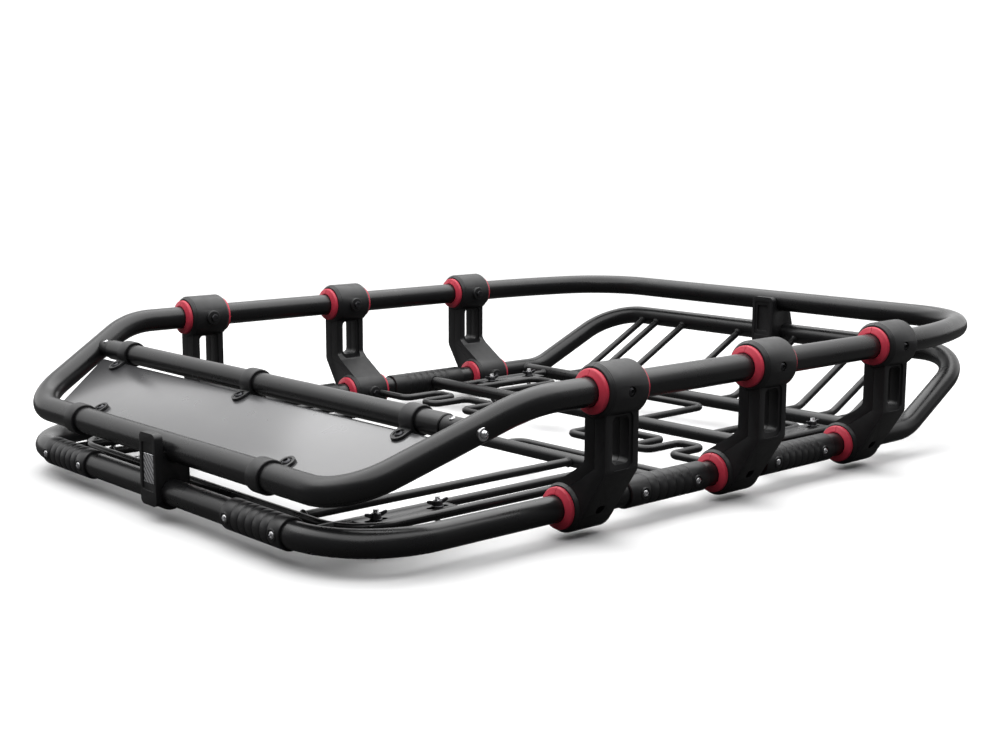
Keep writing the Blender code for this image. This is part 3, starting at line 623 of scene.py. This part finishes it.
def build_middle_frame():
    shape = bmesh.new()
    low, high = SERPENTINE_YS
    half = [(-SERPENTINE_END_X, low)]
    for k, x in enumerate(SERPENTINE_XS):
        ends = (low, high) if k % 2 == 0 else (high, low)
        half += [(-x, ends[0]), (-x, ends[1])]
    tail_x, tail_y = SERPENTINE_TAIL
    half = half[:-1] + [(-tail_x, tail_y)]
    path = mirrored_path([at(x, y, DECK_Z) for x, y in half])
    bends = [SERPENTINE_BEND_R] * (len(half) - 2) + [SERPENTINE_TAIL_R]
    sweep(shape, filleted(path, bends + bends[::-1], 8), THIN_ROD_R, 20)
    for y, radius in ((CROSS_MID_Y, CROSS_R), (CROSS_FRONT_Y, CROSS_R - 1)):
        sweep(shape, [at(-LOW_X, y, DECK_Z), at(LOW_X, y, DECK_Z)], radius, 32)
    front_end = local(cad_middle("sleeve_side_front_right")).y
    rear_end = local(cad_middle("sleeve_side_rear_right")).y
    for word, side in SIDES:
        sweep(shape, [at(side * LOW_X, front_end, DECK_Z), at(side * LOW_X, rear_end, DECK_Z)], LOW_R)
        turn = side * SHORT_CROSS_END_X
        rod(shape, [at(side * LOW_X, SHORT_CROSS_Y, DECK_Z), at(turn, SHORT_CROSS_Y, DECK_Z),
                    at(turn, CROSS_FRONT_Y, DECK_Z)], THIN_ROD_R, (ROD_BEND_R,))
        inner, outer = LOOP_XS
        rod(shape, [at(side * inner, CROSS_MID_Y, DECK_Z), at(side * inner, LOOP_END_Y, DECK_Z),
                    at(side * outer, LOOP_END_Y, DECK_Z), at(side * outer, CROSS_MID_Y, DECK_Z)],
            THIN_ROD_R, (ROD_BEND_R, ROD_BEND_R))
        rear_stop = CROSS_REAR_Y - REAR_CROSS_R - GAP
        rod(shape, [at(side * PERIMETER_ROD_X, y, DECK_Z) for y in (CROSS_MID_Y, rear_stop)])
        for x, radius in ((inner, THIN_ROD_R), (outer, THIN_ROD_R), (PERIMETER_ROD_X, ROD_R)):
            weld(shape, at(side * x, CROSS_MID_Y + CROSS_R, DECK_Z), (0, 1, 0), radius)
        weld(shape, at(side * PERIMETER_ROD_X, rear_stop, DECK_Z), (0, -1, 0), ROD_R)
        add(shape, mount_plate(local(cad_middle(f"u_bolt_rear_{word}"))))
    piece("middle_frame_look", shape, POWDER, "middle_frame")


def build_rear_frame():
    shape = bmesh.new()
    sweep(shape, low_rear_path(), LOW_R)
    sweep(shape, [at(-LOW_X, CROSS_REAR_Y, DECK_Z), at(LOW_X, CROSS_REAR_Y, DECK_Z)], REAR_CROSS_R, 32)
    rise = Vector((0, LOW_REAR_Y - RISER_BEND_Y, LOW_REAR_Z - DECK_Z)).normalized()
    for _, side in SIDES:
        for x in RISER_XS:
            rod(shape, [at(side * x, CROSS_REAR_Y, DECK_Z), at(side * x, RISER_BEND_Y, DECK_Z),
                        at(side * x, LOW_REAR_Y, LOW_REAR_Z)], radii=(RISER_BEND_R,))
            weld(shape, at(side * x, CROSS_REAR_Y + REAR_CROSS_R, DECK_Z), (0, 1, 0), ROD_R)
            weld(shape, at(side * x, LOW_REAR_Y, LOW_REAR_Z) - rise * LOW_R * MM, -rise, ROD_R)
    for _, side in SIDES:
        weld(shape, at(side * (LOW_X - LOW_R), CROSS_REAR_Y, DECK_Z), (-side, 0, 0), REAR_CROSS_R)
    piece("rear_frame_look", shape, POWDER, "rear_frame")


# --- sleeves ------------------------------------------------------------------------
FRONT_SCREW_INSET = 13.0       # screws' distance from each sleeve's ends
SIDE_SCREW_INSET = 26.0
GROOVE_STEP = 16.0


def sleeve(start, end, out, inset, notches=()):
    """A sleeve with shallow grooves between its ends, and its two screws standing in round bosses."""
    span = end - start
    length = span.length / MM
    axis = span.normalized()
    wall = SLEEVE_R
    bore = LOW_R + 0.35
    profile = [(bore, 0.0), (wall - 1.2, 0.0), (wall - 0.3, 0.5), (wall, 1.4)]
    first_groove, last_groove = inset + 12.0, length - inset - 12.0
    grooves = round((last_groove - first_groove) / GROOVE_STEP)
    for k in range(grooves + 1):
        foot = first_groove + (last_groove - first_groove) * k / grooves
        profile += [(wall, foot - 2.0), (wall - 0.35, foot - 1.1), (wall - 0.8, foot - 0.5),
                    (wall - 0.8, foot + 0.5), (wall - 0.35, foot + 1.1), (wall, foot + 2.0)]
    profile += [(wall, length - 1.4), (wall - 0.3, length - 0.5), (wall - 1.2, length), (bore, length)]
    shape = bmesh.new()
    lathe(shape, profile, start, axis, ROUND)
    body = loose(shape)
    if notches:
        body = carve(body, notches, "DIFFERENCE")
    shape = settled(body)
    screws = bmesh.new()
    for distance in (inset, length - inset):
        foot = start + axis * distance * MM
        lathe(shape, [(0.01, 10), (8.6, 10), (8.6, wall + 0.2), (7.8, wall + 1.0), (6.3, wall + 1.0),
                      (6.3, wall - 0.8), (0.01, wall - 0.8)], foot, out, 32)
        socket_screw(screws, foot + out * (wall - 0.8) * MM, out, 5.4, 3.1)
    return shape, screws


def build_sleeves():
    low, high = (local(p) for p in cad_box("sleeve_front_bar_right"))
    rod_x = FRONT_ROD_XS[1]
    notch = solid(sweep, [at(rod_x, LOW_FRONT_Y, DECK_Z), at(rod_x, LOW_FRONT_Y + 40, DECK_Z)], ROD_R + 1, 24)
    ends = [at(x, LOW_FRONT_Y, DECK_Z) for x in (low.x, high.x)]
    shape, screws = sleeve(*ends, Vector((0, -1, 0)), FRONT_SCREW_INSET, [notch])
    both_sides("sleeve_front_bar", shape, PLASTIC)
    both_sides("sleeve_front_bar_screws", screws, STEEL, False)
    crossings = {"side_front": ((CROSS_FRONT_Y, CROSS_R), (SHORT_CROSS_Y, THIN_ROD_R + 1)),
                 "side_rear": ((CROSS_MID_Y, CROSS_R + 1),)}
    for name, passes in crossings.items():
        low, high = (local(p) for p in cad_box(f"sleeve_{name}_right"))
        notches = [solid(sweep, [at(LOW_X - 40, y, DECK_Z), at(LOW_X, y, DECK_Z)], radius, 24)
                   for y, radius in passes]
        ends = [at(LOW_X, y, DECK_Z) for y in (low.y, high.y)]
        shape, screws = sleeve(*ends, Vector((1, 0, 0)), SIDE_SCREW_INSET, notches)
        both_sides(f"sleeve_{name}", shape, PLASTIC)
        both_sides(f"sleeve_{name}_screws", screws, STEEL, False)


# --- brackets -----------------------------------------------------------------------
HOUSING_HALF = 35.5
LEG_HALF = 30.5
UPPER_RING_R = 35.95
LOWER_RING_R = 34.0
LEG_IN_X = 481.0
LEG_OUT_X = 518.0
BUSH_WALL = 8.0
FLANGE_WALL = 10.5
FLANGE_OUT = 5.5
LIP_OUT = 3.0
WINDOW_Z = -65.0               # middle of the window through each leg
HEAD_SINK = 3.6                # depth of the pocket round each outer bolt head
BOSS_OUT = 5.0
LEG_OUTLINE = [(LEG_IN_X, -6), (LEG_OUT_X, -6), (LEG_OUT_X, -106), (472.0, -176.5), (LOW_X, -165.0),
               (421.5, -135.0), (470.0, -104.0), (LEG_IN_X, -94)]
LEG_CORNERS = [0, 0, 15, 6, 0, 0, 10, 10]


def housing(x, z, radius, bore):
    """A clamp ring with a wide chamfer and a fine step at each end."""
    half = HOUSING_HALF
    side = [(radius - 4.6, -half), (radius - 3.8, -half + 0.3), (radius - 0.9, -half + 4.4),
            (radius - 0.9, -half + 5.4), (radius - 0.2, -half + 6.0), (radius, -half + 7.0)]
    profile = [(bore, -half)] + side + [(r, -d) for r, d in reversed(side)] + [(bore, half)]
    return solid(lathe, profile, at(x, 0, z), (0, 1, 0), 72)


def bracket_solid():
    """One whole right-hand bracket, standing at the rims' joint."""
    leg = solid(prism, rounded(LEG_OUTLINE, LEG_CORNERS, 7), -LEG_HALF, LEG_HALF, "Y")
    window = rounded(rectangle(0, WINDOW_Z, 15.5, 31.5), 8.0, 8)
    recess = rounded(rectangle(0, WINDOW_Z - 1, 20.5, 37.5), 10.0, 8)
    cuts = [solid(prism, window, LEG_IN_X - 20, LEG_OUT_X + 20, "X")]
    for x, out in ((LEG_OUT_X, 1), (LEG_IN_X, -1)):
        near, far = sorted((x - out * 2.4, x + out * 9))
        cuts.append(solid(prism, recess, near, far, "X"))
    base = carve(leg, cuts, "DIFFERENCE")
    rings = [housing(RIM_X, 0, UPPER_RING_R, RIM_R + BUSH_WALL - 1),
             housing(LOW_X, DECK_Z, LOWER_RING_R, LOW_R + BUSH_WALL - 1)]
    bosses = []
    pockets = []
    for x, z, radius in ((RIM_X, 0, UPPER_RING_R), (LOW_X, DECK_Z, LOWER_RING_R)):
        boss = [(0.01, -8), (12.4, -8), (12.4, 3.4), (11.6, 4.6), (10.2, BOSS_OUT), (0.01, BOSS_OUT)]
        bosses.append(solid(lathe, boss, at(x - radius, 0, z), (-1, 0, 0), 40))
        pocket = [(0.01, -HEAD_SINK), (7.0, -HEAD_SINK), (7.0, 9), (0.01, 9)]
        pockets.append(solid(lathe, pocket, at(x + radius, 0, z), (1, 0, 0), 36))
    base = carve(base, rings + bosses, "UNION")
    bores = [solid(sweep, [at(x, -60, z), at(x, 60, z)], radius + BUSH_WALL + GAP, 72)
             for x, z, radius in ((RIM_X, 0, RIM_R), (LOW_X, DECK_Z, LOW_R))]
    return carve(base, bores + pockets, "DIFFERENCE")


def inner_region(offset):
    """Everything on the inner side of the surface that splits a bracket in two."""
    outline = [(RIM_X + offset, 80), (RIM_X + offset, -101), (LOW_X + offset, -141), (LOW_X + offset, -240),
               (LOW_X - 110, -240), (LOW_X - 110, 80)]
    return solid(prism, outline, -80, 80, "Y")


def bushing(x, z, tube_r):
    """A split bushing, flanged at both ends: two half turns with a hairline gap top and bottom."""
    flange = tube_r + FLANGE_WALL
    half = HOUSING_HALF + GAP + FLANGE_OUT + LIP_OUT
    bore = tube_r + 0.25
    lip = [(bore, 0.9), (bore + 0.5, 0.2), (bore + 1.6, 0.0), (bore + 2.6, 0.3), (flange - 5.0, 1.9),
           (flange - 2.0, 2.9), (flange - 0.7, 3.7), (flange, 5.0), (flange, LIP_OUT + FLANGE_OUT),
           (tube_r + BUSH_WALL, LIP_OUT + FLANGE_OUT)]
    profile = [(r, d - half) for r, d in lip] + [(r, half - d) for r, d in reversed(lip)]
    slit = 0.012
    shape = bmesh.new()
    axis = Vector((0, 1, 0))
    side = axis.orthogonal().normalized()
    up = Vector((0, 0, 1))
    top = math.atan2(axis.cross(side).dot(up), side.dot(up))
    lathe(shape, profile, at(x, 0, z), axis, 96,
          ((top + slit, top + math.pi - slit), (top + math.pi + slit, top + math.tau - slit)))
    return shape


def bracket_bolts():
    """The two through-bolts' heads: a socket head outside, a hexagon inside."""
    shape = bmesh.new()
    hexagon = [(0.01, 0), (6.4, 0), (6.4, 3.2), (5.8, 3.8), (0.01, 3.8)]
    for x, z, radius in ((RIM_X, 0, UPPER_RING_R), (LOW_X, DECK_Z, LOWER_RING_R)):
        socket_screw(shape, at(x + radius - HEAD_SINK, 0, z), (1, 0, 0), 5.8, 3.2)
        lathe(shape, hexagon, at(x - radius - BOSS_OUT, 0, z), (-1, 0, 0), 6)
    return shape


def build_brackets():
    whole = bracket_solid()
    twin = bpy.data.objects.new("twin", whole.data.copy())
    bpy.context.scene.collection.objects.link(twin)
    outer = softened(carve(whole, [inner_region(0.25)], "DIFFERENCE"), 1.1)
    inner = softened(carve(twin, [inner_region(-0.25)], "INTERSECT"), 1.1)
    upper = bushing(RIM_X, 0, RIM_R)
    lower = bushing(LOW_X, DECK_Z, LOW_R)
    bolts = bracket_bolts()
    for place in ("front", "middle", "rear"):
        offset = (0, local(cad_middle(f"bushing_upper_{place}_right")).y, 0)
        both_sides(f"bracket_outer_{place}", moved(outer, offset), PLASTIC)
        both_sides(f"bracket_inner_{place}", moved(inner, offset), PLASTIC)
        both_sides(f"bushing_upper_{place}", moved(upper, offset), RED)
        both_sides(f"bushing_lower_{place}", moved(lower, offset), RED)
        both_sides(f"bracket_bolts_{place}", moved(bolts, offset), DARK_STEEL, False)
    for shape in (outer, inner, upper, lower, bolts):
        shape.free()


# --- fairing ------------------------------------------------------------------------
FAIR_Y = local(cad_middle("fairing_tube")).y
FAIR_Z = local(cad_middle("fairing_tube")).z
SLOPE = Vector((0, FRONT_BAR_Y - FRONT_BEND_Y, FRONT_BAR_Z)).normalized()
SLOPE_NORMAL = Vector((0, SLOPE.z, -SLOPE.y))
PLATE_LOW = -7.5               # the plate's underside, from the plane of the sloping rails
FAIR_PLATE_THICK = 3.0
FAIR_PLATE_HALF = [(429, 21.5), (361, 142)]     # half outline: X and way down the slope
CLAMP_HALF = 13.0              # half width of the plate's pipe clamps
TAB_THICK = 4.0
TOP_CLAMP_XS = (("left", -365.0), ("centre", 0.0), ("right", 365.0))
TOP_TAB_REACH = 32.0           # screw's distance from the tube's axis on each clamp's tab
BOTTOM_TAB_REACH = 34.0
END_SCREW_X = 440.0
WASHER_TOP = 20.9              # rail bolt's washer, from the rail's axis


def on_slope(x, along, above=0.0):
    """A place on the front slope, measured down it from the fairing tube."""
    return at(x, FAIR_Y, FAIR_Z) + (SLOPE * along + SLOPE_NORMAL * above) * MM


def fairing_clamp(x, along, direction, tube_r, reach):
    """A pipe clamp with a screwed tab lying on the plate, and the screw by itself."""
    width = CLAMP_HALF
    bore = tube_r + 0.35
    ring = [(bore, -width), (bore + 2.8, -width), (bore + 3.6, -width + 0.8), (bore + 3.9, -width + 2.4),
            (bore + 3.9, width - 2.4), (bore + 3.6, width - 0.8), (bore + 2.8, width), (bore, width)]
    shape = bmesh.new()
    lathe(shape, ring, on_slope(x, along), (1, 0, 0), 56)
    low = PLATE_LOW + FAIR_PLATE_THICK + GAP
    near = math.sqrt(bore ** 2 - low ** 2) + 1.8
    half = width - 1.0
    end = [(x + half * math.cos(a), along + direction * (reach + half * math.sin(a)))
           for a in (math.pi * k / 16 for k in range(17))]
    outline = [(x - half, along + direction * near), (x + half, along + direction * near)] + end
    tab = solid(prism, outline, low, low + TAB_THICK, place=on_slope)
    seat = 2.6
    cup = solid(lathe, [(0.01, seat), (8.4, seat), (8.4, 9), (0.01, 9)],
                on_slope(x, along + direction * reach, low), SLOPE_NORMAL, 40)
    add(shape, softened(carve(tab, [cup], "DIFFERENCE"), 0.9))
    screw = bmesh.new()
    socket_screw(screw, on_slope(x, along + direction * reach, low + seat), SLOPE_NORMAL, 6.2, 3.4)
    return shape, screw


def build_fairing():
    half = cad_box("fairing_tube")[1].x
    shape = bmesh.new()
    edge = 1.2
    profile = [(0.01, 0), (FAIR_TUBE_R - edge, 0), (FAIR_TUBE_R, edge), (FAIR_TUBE_R, 2 * half - edge),
               (FAIR_TUBE_R - edge, 2 * half), (0.01, 2 * half)]
    lathe(shape, profile, on_slope(-half, 0), (1, 0, 0), ROUND)
    piece("fairing_tube_look", shape, POWDER, "fairing_tube")
    for word, side in SIDES:
        rail = solid(sweep, front_rim_path(-GAP), RIM_R + 0.25)
        fitting = solid(lathe, [(0.01, 0), (13.4, 0), (14.0, 0.6), (14.0, 60), (0.01, 60)],
                        on_slope(side * (half + GAP), 0), (side, 0, 0), 40)
        end = softened(carve(fitting, [rail], "DIFFERENCE"), 0.5, 2)
        piece(f"fairing_end_{word}_look", end, PLASTIC, f"fairing_end_{word}")
        screw = bmesh.new()
        socket_screw(screw, on_slope(side * END_SCREW_X, 0, 13.4), SLOPE_NORMAL, 4.2, 2.8)
        rail_x = RIM_X + (FAIR_Y - FRONT_BEND_Y) / (FRONT_BAR_Y - FRONT_BEND_Y) * -FRONT_TOE_IN
        out = Vector((side, 0, 0))
        seat = at(side * rail_x, FAIR_Y, FAIR_Z)
        lathe(screw, [(0.01, 15), (8.6, 15), (8.6, WASHER_TOP - 0.7), (8.0, WASHER_TOP), (0.01, WASHER_TOP)],
              seat, out, 36)
        socket_screw(screw, seat + out * WASHER_TOP * MM, out, 5.6, 4.2)
        piece(f"fairing_end_{word}_screws", screw, STEEL)
    corners = FAIR_PLATE_HALF + [(-x, s) for x, s in reversed(FAIR_PLATE_HALF)]
    radii = [4, 9]
    base = solid(prism, rounded(corners, radii + radii[::-1], 8),
                 PLATE_LOW, PLATE_LOW + FAIR_PLATE_THICK, place=on_slope)
    piece("fairing_plate_look", softened(base, 0.7, 2), SHEET, "fairing_plate")
    bar_along = Vector((0, FRONT_BAR_Y - FAIR_Y, FRONT_BAR_Z - FAIR_Z)).length
    clamps = [(f"top_{word}", x, 0.0, 1, FAIR_TUBE_R, TOP_TAB_REACH) for word, x in TOP_CLAMP_XS]
    clamps += [(f"bottom_{word}", side * BAR_SPLIT_X, bar_along, -1, RIM_R, BOTTOM_TAB_REACH)
               for word, side in SIDES]
    for word, x, along, direction, tube_r, reach in clamps:
        shape, screw = fairing_clamp(x, along, direction, tube_r, reach)
        name = f"fairing_clamp_{word}"
        piece(f"{name}_look", shape, PLASTIC, name)
        piece(f"{name}_screw", screw, DARK_STEEL)


# --- centre blocks ------------------------------------------------------------------
def centre_block(node, slab_z, pocket, rim, bars, body):
    """A block joining an upper and a lower bar: a face slab, a web and a collar on the lower bar.

    slab_z holds the slab's lowest and highest point, pocket its recess as half width, lowest and
    highest point and depth, rim the recess's frame alike, bars each bar's Y, Z and radius, and
    body the web's outline in Y and Z.  The slab starts at the node's front.
    """
    low, high = (local(p) for p in cad_box(node))
    x = (low.x + high.x) / 2
    half = (high.x - low.x) / 2
    face = min(low.y, body[0][0] - 12.0)
    middle_z = (slab_z[0] + slab_z[1]) / 2
    outline = rounded(rectangle(x, middle_z, half, (slab_z[1] - slab_z[0]) / 2), 8.0, 6)
    slab = solid(prism, outline, face, body[0][0] + 0.5, "Y")
    web = solid(prism, body, x - half + 1.5, x + half - 1.5, "X")
    y, z, radius = bars[-1]
    width = 2 * half - 4
    profile = [(0.01, 0), (radius + 6, 0), (radius + 7, 1), (radius + 7, width - 1), (radius + 6, width),
               (0.01, width)]
    collar = solid(lathe, profile, at(x - width / 2, y, z), (1, 0, 0), 56)
    whole = carve(slab, [web, collar], "UNION")
    cuts = []
    for half_x, z_low, z_high, depth in (rim, pocket):
        hole = rounded(rectangle(x, (z_low + z_high) / 2, half_x, (z_high - z_low) / 2), 4.0, 5)
        cuts.append(solid(prism, hole, face - 5, face + depth, "Y"))
    for y, z, radius in bars:
        cuts.append(solid(sweep, [at(x - 70, y, z), at(x + 70, y, z)], radius + GAP, 56))
    piece(f"{node}_look", softened(carve(whole, cuts, "DIFFERENCE"), 1.3), PLASTIC, node)
    return x, face


def build_centre_blocks():
    x, face = centre_block("front_block", (-180.0, -80.0),
                           (13.5, -150.0, -108.0, 4.5), (15.5, -160.0, -93.0, 1.6),
                           ((FRONT_BAR_Y, FRONT_BAR_Z, RIM_R), (LOW_FRONT_Y, DECK_Z, LOW_R)),
                           [(-697, -178), (-697, -106), (-656, -112), (-656, -178)])
    lens = solid(prism, rounded(rectangle(x, -129, 13.0, 20.5), 2.5, 5), face + 1.2, face + 4.2, "Y")
    piece("front_reflector_look", softened(lens, 0.7), SILVER, "front_reflector")
    centre_block("rear_block", (-79.0, 10.0), (13.0, -56.0, -6.0, 5.5), (18.0, -64.0, 1.0, 1.5),
                 ((REAR_BAR_Y, REAR_BAR_Z, RIM_R), (LOW_REAR_Y, LOW_REAR_Z, LOW_R)),
                 [(632, -77), (632, 0), (676, -10), (686, -44), (686, -77)])


# --- U-bolts and wing nuts ----------------------------------------------------------
BOLT_BEND_R = 14.0
THREAD_PITCH = 1.25
THREAD_DEPTH = 0.75
THREADED = 34.0                # threaded length of each leg
THREAD_STEP = 0.45             # length of one mesh step along a leg
WING_OUTLINE = [(4.8, 2.4), (12.0, 4.2), (17.5, 7.0), (17.1, 10.5), (12.0, 9.9), (4.8, 7.8)]
WING_CORNERS = [0, 5, 2.0, 1.5, 4, 0]
WING_HALF_THICK = 1.4


def threaded_bolt(middle, top):
    """A U-bolt, bend down, with a real thread on both legs."""
    near, far = middle.y - LEG_SPACING / 2, middle.y + LEG_SPACING / 2
    bottom = BOLT_R - AXIS_HEIGHT
    points = filleted([at(middle.x, near, top), at(middle.x, near, bottom),
                       at(middle.x, far, bottom), at(middle.x, far, top)], (BOLT_BEND_R, BOLT_BEND_R), 10)
    fine = [points[0]]
    for first, second in zip(points, points[1:]):
        step = second - first
        upright = abs(step.normalized().z) > 0.99
        parts = max(1, round(step.length / MM / THREAD_STEP)) if upright else 1
        fine += [first + step * k / parts for k in range(1, parts + 1)]
    total = sum((b - a).length for a, b in zip(fine, fine[1:])) / MM

    def radius(travelled, angle):
        if THREADED < travelled < total - THREADED:
            return BOLT_R
        turn = (travelled / THREAD_PITCH + angle / math.tau) % 1.0
        return BOLT_R - THREAD_DEPTH * abs(2 * turn - 1)

    shape = bmesh.new()
    sweep(shape, fine, radius, 18)
    return shape


def wing_nut():
    """A cast wing nut standing on the origin, wings along Y, with softened edges."""
    shape = bmesh.new()
    hub = [(BOLT_R + 0.1, 0), (7.6, 0), (8.0, 0.4), (8.0, 1.4), (7.2, 2.0), (6.0, 8.0), (5.4, 8.5),
           (BOLT_R + 0.1, 8.5)]
    lathe(shape, hub, Vector((0, 0, 0)), (0, 0, 1), 32)
    for way in (-1, 1):
        corners = [(way * u, v) for u, v in WING_OUTLINE]
        wing = solid(prism, rounded(corners, WING_CORNERS, 5), -WING_HALF_THICK, WING_HALF_THICK,
                     place=lambda u, v, w: Vector((w, u, v)) * MM)
        add(shape, softened(wing, 0.8))
    return shape


def build_mounts():
    nut = wing_nut()
    for place in ("front", "rear"):
        for word, _ in SIDES:
            name = f"u_bolt_{place}_{word}"
            middle = local(cad_middle(name))
            top = local(cad_box(name)[1]).z
            piece(f"{name}_look", threaded_bolt(middle, top), STEEL, name, name)
            for which in ("a", "b"):
                nut_name = f"wing_nut_{place}_{word}_{which}"
                low, high = cad_box(nut_name)
                foot = ((low.x + high.x) / 2, (low.y + high.y) / 2, low.z)
                piece(f"{nut_name}_look", moved(nut, foot), DARK_STEEL, nut_name, nut_name)
    nut.free()


# --- stage, light and camera --------------------------------------------------------
FLOOR_HALF = 30.0
SWEEP = (1.6, 4.5)             # the floor fades into the white backdrop between these distances


def build_stage():
    """A pale floor that fades into a white backdrop, and is dimmer in the object's reflections."""
    floor = bpy.data.materials.new("pale_floor")
    floor.use_nodes = True
    nodes = floor.node_tree.nodes
    links = floor.node_tree.links
    shader = nodes["Principled BSDF"]
    shader.inputs["Base Color"].default_value = (0.86, 0.86, 0.86, 1)
    shader.inputs["Roughness"].default_value = 0.8
    shader.inputs["IOR"].default_value = 1.05
    white = nodes.new("ShaderNodeEmission")
    white.inputs["Color"].default_value = (1.1, 1.1, 1.1, 1)
    coord = nodes.new("ShaderNodeTexCoord")
    away = nodes.new("ShaderNodeVectorMath")
    away.operation = "LENGTH"
    links.new(coord.outputs["Object"], away.inputs[0])
    fade = nodes.new("ShaderNodeMapRange")
    fade.interpolation_type = "SMOOTHSTEP"
    fade.inputs["From Min"].default_value, fade.inputs["From Max"].default_value = SWEEP
    links.new(away.outputs["Value"], fade.inputs["Value"])
    swept = nodes.new("ShaderNodeMixShader")
    links.new(fade.outputs["Result"], swept.inputs[0])
    links.new(shader.outputs[0], swept.inputs[1])
    links.new(white.outputs[0], swept.inputs[2])
    dim = nodes.new("ShaderNodeBsdfDiffuse")
    dim.inputs["Color"].default_value = (0.06, 0.06, 0.06, 1)
    path = nodes.new("ShaderNodeLightPath")
    seen = nodes.new("ShaderNodeMixShader")
    links.new(path.outputs["Is Camera Ray"], seen.inputs[0])
    links.new(dim.outputs[0], seen.inputs[1])
    links.new(swept.outputs[0], seen.inputs[2])
    links.new(seen.outputs[0], nodes["Material Output"].inputs["Surface"])
    shape = bmesh.new()
    bmesh.ops.create_grid(shape, x_segments=2, y_segments=2, size=FLOOR_HALF)
    mesh = bpy.data.meshes.new("floor")
    shape.to_mesh(mesh)
    shape.free()
    mesh.materials.append(floor)
    obj = bpy.data.objects.new("floor", mesh)
    obj.location.z = cad_bounds[0][2] - 0.0006
    bpy.context.scene.collection.objects.link(obj)


def area_light(name, place, target, size, power):
    light = bpy.data.lights.new(name, "AREA")
    light.shape = "RECTANGLE"
    light.size, light.size_y = size
    light.energy = power
    obj = bpy.data.objects.new(name, light)
    obj.location = place
    obj.rotation_euler = (Vector(target) - Vector(place)).to_track_quat("-Z", "Y").to_euler()
    bpy.context.scene.collection.objects.link(obj)


CAMERA_AZIMUTH = math.radians(47.76)
CAMERA_ELEVATION = math.radians(9.21)
CAMERA_TARGET = (10.3, -63.2, -67.1)
CAMERA_DISTANCE = 2.4
CAMERA_ROLL = math.radians(0.23)
LENS = 52.74


def build_camera():
    back = Vector((math.sin(CAMERA_AZIMUTH) * math.cos(CAMERA_ELEVATION),
                   -math.cos(CAMERA_AZIMUTH) * math.cos(CAMERA_ELEVATION), math.sin(CAMERA_ELEVATION)))
    right = Vector((math.cos(CAMERA_AZIMUTH), math.sin(CAMERA_AZIMUTH), 0))
    up = back.cross(right)
    data = bpy.data.cameras.new("camera")
    data.lens = LENS
    data.sensor_width = 36.0
    data.clip_start = 0.01
    data.shift_x = -0.0005
    data.shift_y = 0.0005
    obj = bpy.data.objects.new("camera", data)
    place = Matrix((right, up, back)).transposed().to_4x4()
    place.translation = at(*CAMERA_TARGET) + back * CAMERA_DISTANCE
    obj.matrix_world = place @ Matrix.Rotation(CAMERA_ROLL, 4, "Z")
    bpy.context.scene.collection.objects.link(obj)
    bpy.context.scene.camera = obj


def build_light():
    """White behind the object and above it, dimmer on the camera's side, under one wide softbox."""
    world = bpy.data.worlds.new("studio")
    bpy.context.scene.world = world
    world.use_nodes = True
    nodes = world.node_tree.nodes
    links = world.node_tree.links
    coord = nodes.new("ShaderNodeTexCoord")
    toward = nodes.new("ShaderNodeVectorMath")
    toward.operation = "DOT_PRODUCT"
    toward.inputs[1].default_value = (-math.sin(CAMERA_AZIMUTH), math.cos(CAMERA_AZIMUTH), 0.35)
    links.new(coord.outputs["Generated"], toward.inputs[0])
    ramp = nodes.new("ShaderNodeValToRGB")
    ramp.color_ramp.elements[0].position = 0.0
    ramp.color_ramp.elements[0].color = (0.12, 0.12, 0.125, 1)
    ramp.color_ramp.elements[1].position = 0.60
    ramp.color_ramp.elements[1].color = (1.15, 1.15, 1.15, 1)
    links.new(toward.outputs["Value"], ramp.inputs["Fac"])
    path = nodes.new("ShaderNodeLightPath")
    seen = nodes.new("ShaderNodeMix")
    seen.data_type = "RGBA"
    seen.inputs[7].default_value = (1.1, 1.1, 1.1, 1)
    links.new(path.outputs["Is Camera Ray"], seen.inputs[0])
    links.new(ramp.outputs["Color"], seen.inputs[6])
    links.new(seen.outputs[2], nodes["Background"].inputs["Color"])
    area_light("overhead", (0.0, -0.3, 2.5), (0, -0.3, 0), (5.2, 6.0), 210.0)
    bpy.context.scene.view_settings.view_transform = "Standard"


build_rims()
build_front_frame()
build_middle_frame()
build_rear_frame()
build_sleeves()
build_brackets()
build_fairing()
build_centre_blocks()
build_mounts()
build_stage()
build_light()
build_camera()
